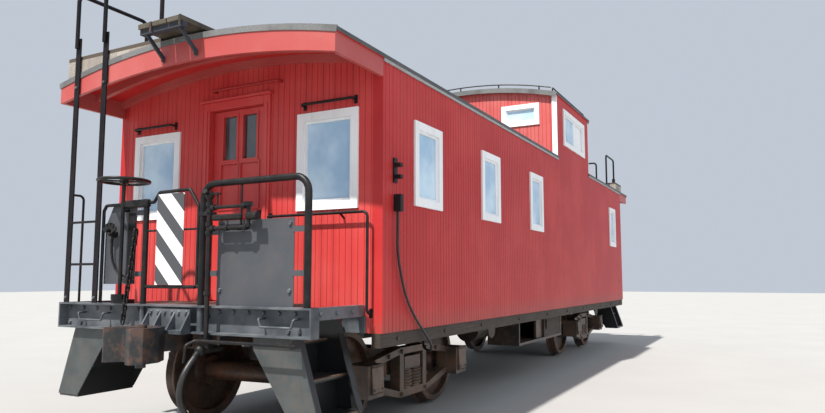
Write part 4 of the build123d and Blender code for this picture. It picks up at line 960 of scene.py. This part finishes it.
piece("window_sashes", bm, trim_white)
piece("window_panes", panes, window_glass, replaced=["window_glass"])

# %% [markdown]
# ## Corner boards
# White boards cover the joint between the cupola's side and end walls. They stand as proud of the end wall
# as the door casing does.

# %% Corner boards
CORNER_WIDTH = 0.072
CORNER_FOOT = EAVE + 0.035
CORNER_TOP = CUPOLA_EAVE - 0.005
bm = bmesh.new()
for x, step in ((CUPOLA_X[0], -PROUD), (CUPOLA_X[1], PROUD)):
    for side in (-1, 1):
        low, high = sorted((x, x + step)), sorted((side * SIDE_Y, side * (SIDE_Y - CORNER_WIDTH)))
        add_box(bm, (low[0], high[0], CORNER_FOOT), (low[1], high[1], CORNER_TOP), bevel=0.003)
piece("cupola_corner_boards", bm, trim_white)

# %% [markdown]
# ## Roof edges
# The ends of the roof boards show as a weathered grey band above the red fascia. The band is one small
# profile spun along the arch. A pale drip strip runs along the eaves, and stops where the cupola stands.


# %% Roof edges
def add_arch(bm, x, thickness, low, high, half, spring, rise, steps=40):
    """A strip that follows the roof: a small upright profile spun about the arch's centre."""
    radius = (SIDE_Y ** 2 + rise ** 2) / (2 * rise)
    centre = Vector((0, 0, spring + rise - radius))
    half_turn = math.asin(half / radius)
    place = Matrix.Translation((x + thickness / 2, 0, spring + rise + (low + high) / 2)) @ QUARTER_X
    profile = add_face(bm, place, thickness, high - low)
    bmesh.ops.rotate(bm, verts=profile, cent=centre, matrix=Matrix.Rotation(-half_turn, 3, "X"))
    bmesh.ops.spin(bm, geom=profile + linked(profile) + linked(profile, "link_faces"), cent=centre,
                   axis=(1, 0, 0), angle=2 * half_turn, steps=steps, use_merge=False,
                   use_normal_flip=False, use_duplicate=False)


BAND = 0.007
BAND_EDGES = (-0.012, 0.034)
CUPOLA_BAND = 0.006
CUPOLA_BAND_EDGES = (-0.034, 0.033)
OVERHANG = 0.060
ARCH_HALF = SIDE_Y + 0.012
DRIP_EDGES = (EAVE - 0.026, EAVE - 0.002)
bm = bmesh.new()
for x in (-ROOF_END - BAND, ROOF_END):
    add_arch(bm, x, BAND, *BAND_EDGES, ARCH_HALF, EAVE, ROOF_RISE)
for x in (CUPOLA_X[0] - OVERHANG - CUPOLA_BAND, CUPOLA_X[1] + OVERHANG):
    add_arch(bm, x, CUPOLA_BAND, *CUPOLA_BAND_EDGES, ARCH_HALF, CUPOLA_EAVE, CUPOLA_RISE)
piece("roof_end_bands", bm, roof_edge)

bm = bmesh.new()
for low, high in ((-END_X, CUPOLA_X[0]), (CUPOLA_X[1], END_X)):
    add_box(bm, (low, -ARCH_HALF, DRIP_EDGES[0]), (high, -SIDE_Y, DRIP_EDGES[1]), bevel=0.001)
mirrored_copy(bm)
piece("drip_strips", bm, drip_paint)

# %% [markdown]
# ## Rails on the cupola
# A low rail follows the roof at each end of the cupola, on five short posts. A bent bar is a disc whose rim
# is extruded from point to point. It turns no more than its path does, so the bar isn't pinched in a bend.


# %% Cupola end rails
def add_pipe(bm, points, radius, sides=8):
    """A round bar through points: a disc whose rim is carried from point to point."""
    points = [Vector(point) for point in points]
    heading = points[1] - points[0]
    turn = heading.to_track_quat("Z", "Y")
    frames = []
    for index, point in enumerate(points):
        new_heading = points[min(index + 1, len(points) - 1)] - points[max(index - 1, 0)]
        turn = heading.rotation_difference(new_heading) @ turn
        heading = new_heading
        frames.append(Matrix.Translation(point) @ turn.to_matrix().to_4x4())
    start = bmesh.ops.create_circle(bm, cap_ends=True, segments=sides, radius=radius, matrix=frames[0])
    rim = linked(start["verts"])
    for before, after in zip(frames, frames[1:]):
        verts, rim = grow(bm, rim)
        bmesh.ops.transform(bm, matrix=after @ before.inverted(), verts=verts)
    bmesh.ops.contextual_create(bm, geom=rim)


RAIL_INSET = 0.040
RAIL_LIFT = 0.088
POST_SEAT = 0.020
POST_Y = (-1.20, -0.60, 0.0, 0.60, 1.20)
rail_y = [index / 20 * SIDE_Y for index in range(-19, 20)]
bm = bmesh.new()
for x in (CUPOLA_X[0] - RAIL_INSET, CUPOLA_X[1] + RAIL_INSET):
    add_pipe(bm, [(x, y, arch(y, CUPOLA_EAVE, CUPOLA_RISE) + RAIL_LIFT) for y in rail_y], radius=0.009)
    for y in POST_Y:
        roof = arch(y, CUPOLA_EAVE, CUPOLA_RISE)
        add_pipe(bm, ((x, y, roof + POST_SEAT), (x, y, roof + RAIL_LIFT)), radius=0.010)
piece("cupola_end_rails", bm, black_iron)

# %% [markdown]
# ## Bolts and rivets
# Heads of bolts are small, but they catch the light along every iron edge. They are set in rows from a
# start, an end and a count.


# %% Bolt rows on the end sills, decks and panels
def row(start, end, count):
    start, end = Vector(start), Vector(end)
    return [start.lerp(end, index / (count - 1)) for index in range(count)]


BIG_BOLT = (0.018, 0.014)
MEDIUM_BOLT = (0.016, 0.012)
LADDER_BOLT = (0.013, 0.012)
RIVET = (0.010, 0.007, 10)
SILL_WEB = -5.128
DRAW_PLATE = -SILL_FACE - 0.012
PANEL_BACK = -5.140
LADDER_BOLT_Z = (3.255, 3.310, 2.90, 1.13)
DECK_ROW = ((-5.02, -0.760, 1.02), (-4.66, -0.760, 1.02), 3)
RIVET_ROW = ((-5.15, -0.85, 0.84), (-5.15, -1.10, 0.84), 4)
END_ROWS = (  # the plate, across and up for the first and the last bolt, and how many
    (SILL_WEB, (-1.24, 1.045), (-0.42, 1.045), 7),
    (SILL_WEB, (-1.24, 0.925), (-1.05, 0.925), 3),
    (SILL_WEB, (0.42, 1.045), (1.24, 1.045), 6),
    (SILL_WEB, (1.10, 0.925), (1.24, 0.925), 2),
    (DRAW_PLATE, (-0.18, 1.035), (0.18, 1.035), 6),
    (PANEL_BACK, (-1.06, 1.66), (-0.43, 1.66), 2),
    (PANEL_BACK, (-1.06, 1.20), (-0.43, 1.20), 2),
)
bm = bmesh.new()
for x, start, end, count in END_ROWS:
    for point in row((x, *start), (x, *end), count):
        add_bolt(bm, on_end(*point), *BIG_BOLT)
for point in row(*DECK_ROW):
    add_bolt(bm, on_side(*point), *MEDIUM_BOLT)
for y in LADDER_Y:
    for z in LADDER_BOLT_Z:
        add_bolt(bm, on_end(-SILL_FACE, y, z), *LADDER_BOLT)
for point in row(*RIVET_ROW):
    add_bolt(bm, on_end(*point), *RIVET)
turned_copy(bm)
piece("end_bolts", bm, sill_iron)

# %% [markdown]
# Square nuts stand in a row along each side sill. A bolt head with four sides is a nut.

# %% Nuts on the side sills
SIDE_SILL_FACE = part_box("side_sills")[0].y
NUT_X = (-4.30, -3.46, -2.62, -1.50, -0.40, 0.55, 1.50, 2.62, 3.46, 4.30)
NUT_Z = 0.832
bm = bmesh.new()
for x in NUT_X:
    add_bolt(bm, on_side(x, SIDE_SILL_FACE, NUT_Z), radius=0.017, height=0.012, sides=4)
mirrored_copy(bm)
piece("side_sill_bolts", bm, under_iron)

# %% [markdown]
# ## Truck springs
# A coil spring is a small circle spun about an upright axis while it climbs. The operator takes the climb
# for each step, so one call winds the whole spring round its solid core.

# %% Truck springs
TRUCKS = (("near", -3.24), ("far", 3.24))
JOURNAL_Y = 0.952
SPRING_TURNS = 5
SPRING_STEPS = 14
SPRING_Z = (0.312, 0.458)
SPRING_X = 0.0885
COIL = 0.062
WIRE = 0.0115
steps = SPRING_TURNS * SPRING_STEPS
climb = (SPRING_Z[1] - SPRING_Z[0]) / steps
for end, centre in TRUCKS:
    bm = bmesh.new()
    for x in (centre - SPRING_X, centre + SPRING_X):
        for y in (-JOURNAL_Y, JOURNAL_Y):
            foot = Vector((x, y, SPRING_Z[0]))
            place = Matrix.Translation(foot + Vector((COIL, 0, 0))) @ QUARTER_X
            wire = bmesh.ops.create_circle(bm, cap_ends=True, segments=7, radius=WIRE, matrix=place)["verts"]
            bmesh.ops.spin(bm, geom=wire + linked(wire) + linked(wire, "link_faces"), cent=foot,
                           axis=(0, 0, 1), dvec=(0, 0, climb), angle=2 * math.pi * SPRING_TURNS, steps=steps,
                           use_duplicate=False)
    piece(f"truck_springs_{end}", bm, truck_iron, f"{end}_truck", smooth=True)

# %% [markdown]
# ## Truck bolts
# The arch bars are bolted to the columns and to the journal boxes, and each box has a hinged lid with two
# bolts below it. Everything is alike to the left and right of the truck's middle.

# %% Truck bolts and lid hinges
BAR_FACE = -1.002
BAR_BOLTS = ((0.231, 0.636), (0.231, 0.264), (0.46, 0.612), (0.70, 0.585), (0.70, 0.385))
BOX_X = 0.838
HINGE_HALF = 0.085
HINGE_Y, HINGE_Z = -1.118, 0.588
LID_BOLT_X = 0.060
LID_BOLT_Y, LID_BOLT_Z = -1.121, 0.400
for end, centre in TRUCKS:
    bm = bmesh.new()
    for sign in (-1, 1):
        for x, z in BAR_BOLTS:
            add_bolt(bm, on_side(centre + sign * x, BAR_FACE, z), radius=0.020, height=0.022)
        box = centre + sign * BOX_X
        add_pipe(bm, [(box + x, HINGE_Y, HINGE_Z) for x in (-HINGE_HALF, HINGE_HALF)], radius=0.012)
        for x in (-LID_BOLT_X, LID_BOLT_X):
            add_bolt(bm, on_side(box + x, LID_BOLT_Y, LID_BOLT_Z), radius=0.011, height=0.020)
    mirrored_copy(bm)
    piece(f"truck_bolts_{end}", bm, truck_iron, f"{end}_truck")

# %% [markdown]
# ## Step nosings
# Boots keep the front edge of each tread bare, so a rusty angle shows there: one thin plate in front of
# the tread and one on top of it.

# %% Step nosings
STEP_X = (-5.140, -4.610)
TREADS = ((0.842, 1.000), (0.600, 1.185), (0.350, 1.310))
ANGLE = 0.004
ANGLE_TOP = 0.003
ANGLE_DROP = 0.012
ANGLE_DEPTH = 0.022
bm = bmesh.new()
for level, front in TREADS:
    top = level + ANGLE_TOP
    add_box(bm, (STEP_X[0], -front - ANGLE, level - ANGLE_DROP), (STEP_X[1], -front, top), bevel=0.001)
    add_box(bm, (STEP_X[0], -front, level), (STEP_X[1], -front + ANGLE_DEPTH, top), bevel=0.001)
mirrored_copy(bm)
turned_copy(bm)
piece("step_nosings", bm, truck_iron)

# %% [markdown]
# ## Hand brake chain
# Each link is a ring that a circle leaves when it is spun, pulled apart at its middle. Every second link
# is turned a quarter, and the chain is a row of such links.

# %% Hand brake chain
CHAIN_TOP = (-5.185, 0.420, 1.640)
CHAIN_FOOT = (-5.205, 0.505, 0.960)
LINKS = 20
LINK_PULL = 0.014
LINK_RING = 0.0165
LINK_WIRE = 0.0075
MIDDLE = 0.0005
bm = bmesh.new()
done = set()
for index, point in enumerate(row(CHAIN_TOP, CHAIN_FOOT, LINKS)):
    place = Matrix.Translation((LINK_RING, 0, 0)) @ QUARTER_X
    wire = bmesh.ops.create_circle(bm, segments=6, radius=LINK_WIRE, matrix=place)["verts"]
    bmesh.ops.spin(bm, geom=wire + linked(wire), cent=(0, 0, 0), axis=(0, 0, 1), angle=2 * math.pi, steps=12,
                   use_merge=True)
    link = [vert for vert in bm.verts if vert not in done]
    for vert in link:
        vert.co.y += math.copysign(LINK_PULL, vert.co.y) if abs(vert.co.y) > MIDDLE else 0.0
    quarter = Matrix.Rotation(math.pi / 2 * (index % 2), 4, "Z") @ QUARTER_X
    bmesh.ops.transform(bm, matrix=Matrix.Translation(point) @ quarter, verts=link)
    done = set(bm.verts)
turned_copy(bm)
piece("brake_chains", bm, black_iron, smooth=True)

# %% [markdown]
# ## Small valve on the brake panel
# A hand valve with a fan-shaped handle sits on the chamfered plate, and a bent pipe leads down and away
# from it. The handle is five flat blades turned about one point.

# %% Fan valve and its pipe
PANEL_FACE = -5.143
VALVE = on_end(PANEL_FACE, 0.705, 1.640)
VALVE_DEPTH = 0.050
BLADE = Matrix.Diagonal((0.026, 0.085, 0.012, 1))
BLADE_PLACE = Matrix.Translation((0, 0.045, 0.060))
PIPE_YZ = ((0.705, 1.62), (0.712, 1.56), (0.708, 1.49), (0.690, 1.42), (0.655, 1.36), (0.610, 1.32),
           (0.545, 1.30), (0.470, 1.29))
bm = bmesh.new()
add_bolt(bm, VALVE, radius=0.030, height=VALVE_DEPTH, sides=14)
add_bolt(bm, lifted(VALVE, VALVE_DEPTH), radius=0.018, height=0.020, sides=8)
for angle in range(-60, 61, 30):
    turn = Matrix.Rotation(math.radians(angle), 4, "Z")
    bmesh.ops.create_cube(bm, size=1, matrix=VALVE @ turn @ BLADE_PLACE @ BLADE)
add_pipe(bm, [(PANEL_FACE - 0.03, y, z) for y, z in PIPE_YZ], radius=0.010)
turned_copy(bm)
piece("fan_valves", bm, black_iron)

# %% [markdown]
# ## Edge of the platform
# A steel channel runs from each end of the end sill to the body and carries the outer edge of the step
# well. It is a thin upright plate with a flange along its top and three bolts, and a short plate ties it
# to the body.

# %% Platform edges
EDGE_Y = 1.291
EDGE_START = -SILL_FACE + 0.014
EDGE_PLATE = -EDGE_Y + 0.012
FLANGE_BACK = -EDGE_Y + 0.060
EDGE_HEIGHT = 0.085
FLANGE = 0.010
EDGE_BOLTS = ((-5.10, -EDGE_Y, DECK - 0.045), (-4.72, -EDGE_Y, DECK - 0.045), 3)
TIE = ((-END_X - 0.015, -EDGE_Y - 0.010, 0.885), (-END_X + 0.004, -1.100, 1.005))
bm = bmesh.new()
add_box(bm, (EDGE_START, -EDGE_Y, DECK - EDGE_HEIGHT), (-END_X, EDGE_PLATE, DECK), bevel=0.002)
add_box(bm, (EDGE_START, EDGE_PLATE, DECK - FLANGE), (-END_X, FLANGE_BACK, DECK), bevel=0.002)
add_box(bm, *TIE, bevel=0.002)
for point in row(*EDGE_BOLTS):
    add_bolt(bm, on_side(*point), *MEDIUM_BOLT)
mirrored_copy(bm)
turned_copy(bm)
piece("platform_edges", bm, sill_iron)

# %% [markdown]
# ## Heads of the brake stand and the valve
# Castings are thicker and rounder than the pipes they join. The brake stand gets a block at its head and a
# flat bar below it, and the air valve gets a block, a round body lying across and a nut on top.

# %% Post heads
VALVE_X = -5.227
VALVE_END = Matrix.Translation((VALVE_X, -0.800, 1.716)) @ QUARTER_X
VALVE_NUT = Matrix.Translation((VALVE_X, -0.760, 1.800))
BLOCKS = (  # two opposite corners and the bevel
    ((-5.196, 0.296, 1.838), (-5.148, 0.604, 1.898), 0.010),
    ((-5.150, 0.468, 1.250), (-5.1435, 0.556, 1.800), 0.003),
    ((-5.246, -0.700, 1.694), (-5.208, -0.430, 1.738), 0.010),
)
bm = bmesh.new()
for low, high, bevel in BLOCKS:
    add_box(bm, low, high, bevel)
add_rod(bm, VALVE_END, radius=0.030, length=0.090, sides=12)
add_rod(bm, VALVE_NUT, radius=0.034, length=0.030, sides=6)
turned_copy(bm)
piece("post_heads", bm, black_iron)

# %% [markdown]
# ## Pipe unions
# Threaded pipe is joined by fittings, so each bend and branch of the air pipe has a fatter collar: some on
# the upright pipe and some on the two that lie across. A small flat plate lies above them.

# %% Pipe unions
UPRIGHT_Y = -0.394
UPRIGHT_Z = (1.180, 1.610, 1.670, 1.765, 1.815)
ACROSS_YZ = ((-0.430, 1.640), (-0.560, 1.640), (-0.735, 1.640), (-0.430, 1.790), (-0.720, 1.790))
TOP_PLATE = ((VALVE_X - 0.020, -0.500, 1.880), (VALVE_X + 0.010, -0.440, 1.892))
bm = bmesh.new()
for z in UPRIGHT_Z:
    add_rod(bm, Matrix.Translation((VALVE_X, UPRIGHT_Y, z)), radius=0.025, length=0.026, sides=8)
for y, z in ACROSS_YZ:
    add_rod(bm, Matrix.Translation((VALVE_X, y, z)) @ QUARTER_X, radius=0.022, length=0.030, sides=8)
add_box(bm, *TOP_PLATE, bevel=0.002)
turned_copy(bm)
piece("pipe_unions", bm, black_iron)

# %% [markdown]
# ## Panels on the railing
# Three sheets hang on the railing: a plain one inside the hoop, one with a cut corner beside the brake
# wheel, and the striped warning board in front. Short straps hold the first two. Each sheet and strap is
# one face, cut by a slanted plane where it loses a corner and then pushed back to its thickness.


# %% End panels
def add_sheet(bm, x, across, upright, thickness, corner=None):
    """A thin upright sheet on the near end; corner takes a triangle from its left top."""
    place = on_end(x, sum(across) / 2, sum(upright) / 2)
    made = add_face(bm, place, across[1] - across[0], upright[1] - upright[0])
    face = made[0].link_faces[0]
    if corner:
        kept = bmesh.ops.bisect_plane(bm, geom=made + list(face.edges) + [face], dist=0.0001,
                                      plane_co=(x, across[1] - corner[0], upright[1]),
                                      plane_no=(0, corner[1], corner[0]), clear_outer=True)["geom"]
        face = next(item for item in kept if isinstance(item, bmesh.types.BMFace))
    thicken(bm, [face], (thickness, 0, 0))


SHEET = 0.006
STRAP = 0.009
STRAP_HEIGHT = 0.040
HOOP_SHEET = ((-1.092, -0.398), (DECK, 1.700))
BRAKE_SHEET = ((0.470, 0.830), (1.240, 1.872))
BRAKE_CORNER = (0.090, 0.172)
STRIPED_SHEET = ((-0.094, 0.190), (1.236, 1.925))
STRIPED_FACE = -5.1865
STRAPS = (  # the face of the strap, its reach across, and how high it hangs
    (PANEL_FACE, (-1.228, -1.082), 1.300), (PANEL_FACE, (-1.228, -1.082), 1.600),
    (PANEL_FACE, (-0.408, -0.272), 1.300), (PANEL_FACE, (-0.408, -0.272), 1.600),
    (-5.146, (0.332, 0.480), 1.300), (-5.146, (0.332, 0.480), 1.780),
)
bm = bmesh.new()
add_sheet(bm, PANEL_BACK, *HOOP_SHEET, SHEET)
add_sheet(bm, PANEL_FACE, *BRAKE_SHEET, SHEET, corner=BRAKE_CORNER)
add_sheet(bm, STRIPED_FACE, *STRIPED_SHEET, SHEET)
for x, across, level in STRAPS:
    add_sheet(bm, x, across, (level, level + STRAP_HEIGHT), STRAP)
turned_copy(bm)
piece("end_panels", bm, grey_panel, replaced=["railing_panels"])

# %% [markdown]
# ## Roof ladders
# Only the two lowest rungs are left on this car. The pipes that go on above the roof are bent, not
# welded, so each corner of their path becomes a small arc before the disc is carried along it.


# %% Roof ladders
def bent(points, radius, steps=6):
    """The same path with an arc in place of each inner corner."""
    points = [Vector(point) for point in points]
    path = [points[0]]
    for before, corner, after in zip(points, points[1:], points[2:]):
        run_in, run_out = (before - corner).normalized(), (after - corner).normalized()
        half = run_in.angle(run_out) / 2
        middle = (run_in + run_out).normalized()
        centre = corner + middle * (radius / math.sin(half))
        start = corner + run_in * (radius / math.tan(half)) - centre
        end = corner + run_out * (radius / math.tan(half)) - centre
        path += [centre + start.slerp(end, step / steps) * radius for step in range(steps + 1)]
    return path + [points[-1]]


STILE_BACK = -SILL_FACE + 0.012
STILE_HALF = 0.030
STILE_TOP = EAVE + 0.390
STAY_HALF = 0.016
STAY_Z = (EAVE - 0.060, EAVE - 0.028)
RUNG_X = -SILL_FACE + 0.006
RUNG_Z = (1.400, 1.745)
PIPE = 0.017
PIPE_BEND = 0.060
PIPE_X = -SILL_FACE - 0.013
PIPE_LOW = EAVE + 0.300
LADDER_TOP = EAVE + 0.775
HANDLE_Y = (0.620, 0.185)
HANDLE_FOOT = EAVE + 0.265
inner_y, outer_y = LADDER_Y
bm = bmesh.new()
for y in LADDER_Y:
    add_box(bm, (-SILL_FACE, y - STILE_HALF, DECK), (STILE_BACK, y + STILE_HALF, STILE_TOP), bevel=0.002)
    add_box(bm, (STILE_BACK, y - STAY_HALF, STAY_Z[0]), (-ROOF_END, y + STAY_HALF, STAY_Z[1]), bevel=0.002)
for z in RUNG_Z:
    add_pipe(bm, ((RUNG_X, inner_y, z), (RUNG_X, outer_y, z)), radius=0.010)
foot_x, foot_z = -END_X + 0.040, arch(outer_y, EAVE, ROOF_RISE) + ROOF_BOARD
hoop = ((PIPE_X, PIPE_LOW), (PIPE_X, LADDER_TOP), (foot_x, LADDER_TOP), (foot_x, foot_z))
add_pipe(bm, bent([(x, outer_y, z) for x, z in hoop], PIPE_BEND), PIPE, sides=12)
low_top, high_top = LADDER_TOP - 0.020, LADDER_TOP + 0.070
handle = ((inner_y, PIPE_LOW), (inner_y, low_top), (HANDLE_Y[0], low_top), (HANDLE_Y[1], high_top),
          (HANDLE_Y[1], HANDLE_FOOT))
add_pipe(bm, bent([(PIPE_X, y, z) for y, z in handle], PIPE_BEND), PIPE, sides=12)
turned_copy(bm)
piece("roof_ladders", bm, ladder_iron, replaced=["ladders"])

# %% [markdown]
# ## Straps of the roof walk
# The planks of the walk lie on an iron beam and are held by straps that lap over its outer face. The
# struts below it end in flat feet with bolts.

# %% Straps of the roof walk
BEAM_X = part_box("roof_walk_near")[0].x
WALK_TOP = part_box("roof_walk_near")[1].z
LAP = 0.004
LAP_HALF = 0.011
LAP_HEIGHT = 0.080
LAP_Y = (-0.215, 0.090)
STRUT_Y = 0.175
STRUT_BOLT_Z = (2.972, 2.992)
bm = bmesh.new()
for y in LAP_Y:
    add_box(bm, (BEAM_X - LAP, y - LAP_HALF, WALK_TOP - LAP_HEIGHT), (BEAM_X, y + LAP_HALF, WALK_TOP + 0.002),
            bevel=0.001)
for y in (-STRUT_Y, STRUT_Y):
    for z in STRUT_BOLT_Z:
        add_bolt(bm, on_end(-SILL_FACE - 0.002, y, z), radius=0.009, height=0.007)
turned_copy(bm)
piece("walk_straps", bm, under_iron)

# %% [markdown]
# ## Iron feet on the walls
# Each grab iron ends in a flat foot with two screws, and a short brace holds the long one off the wall.
# A flat box against the wall is enough for a foot.

# %% Feet of the grab irons
FEET = ((-0.720, 2.650), (-1.200, 2.650), (0.720, 2.650), (1.200, 2.650), (-0.390, 1.776), (-1.345, 1.030))
FOOT_X = -END_X - 0.006
FOOT_HALF = (0.016, 0.034)
BRACE = ((-END_X, -1.10, 1.74), (-END_X - 0.060, -1.10, 1.776))
SCREW_STEP = 0.024
bm = bmesh.new()
for y, z in FEET:
    add_box(bm, (FOOT_X, y - FOOT_HALF[0], z - FOOT_HALF[1]), (-END_X, y + FOOT_HALF[0], z + FOOT_HALF[1]),
            bevel=0.002)
    for step in (-SCREW_STEP, SCREW_STEP):
        add_bolt(bm, on_end(FOOT_X, y, z + step), radius=0.007, height=0.004)
add_pipe(bm, BRACE, radius=0.009)
turned_copy(bm)
piece("grab_iron_feet", bm, grab_iron_paint)

# %% [markdown]
# ## Side cable and air hose
# Cords are curves, so that they can be handled as cords later. The control points are those of the solid
# route, and the curve's own order rounds the corners. Both ends of the car carry the same pair.


# %% Cords
def cord(name, points, radius, finish, replaced, **facts):
    data = bpy.data.curves.new(name, "CURVE")
    data.dimensions = "3D"
    spline = data.splines.new("NURBS")
    spline.points.add(len(points) - 1)
    for control, point in zip(spline.points, points):
        control.co = (*point, 1.0)
    spline.order_u = 3
    spline.use_endpoint_u = True
    spline.resolution_u = 8
    data.bevel_depth = radius
    data.bevel_resolution = 3
    data.use_fill_caps = True
    data.materials.append(finish)
    made = bpy.data.objects.new(name, data)
    bpy.context.collection.objects.link(made)
    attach(made, "carbody")
    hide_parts(replaced)
    print(name, len(points), "control points")


SIDE_CABLE = ((-4.367, -1.466, 1.790), (-4.367, -1.466, 1.650), (-4.372, -1.466, 1.480),
              (-4.314, -1.466, 1.300), (-4.244, -1.466, 1.150), (-4.114, -1.466, 1.000),
              (-3.924, -1.466, 0.850), (-3.774, -1.460, 0.740), (-3.654, -1.380, 0.668),
              (-3.544, -1.250, 0.694), (-3.494, -1.250, 0.800), (-3.494, -1.250, 0.930))
AIR_HOSE = ((-5.294, -0.360, 0.734), (-5.352, -0.360, 0.680), (-5.398, -0.352, 0.596),
            (-5.404, -0.338, 0.500), (-5.374, -0.322, 0.412), (-5.316, -0.306, 0.352))
for end, sign in (("near", 1), ("far", -1)):
    cord(f"cable_{end}", [(sign * x, sign * y, z) for x, y, z in SIDE_CABLE], 0.010, hose_rubber,
         f"side_cable_{end}", length=1.847, far_end="object", stiffness="stiff", lay="hanging")
    cord(f"hose_{end}", [(sign * x, sign * y, z) for x, y, z in AIR_HOSE], 0.022, hose_rubber,
         f"air_hose_{end}", length=0.448, far_end="connector", stiffness="limp", lay="hanging",
         with_pieces=[nodes[f"hose_coupling_{end}"]])
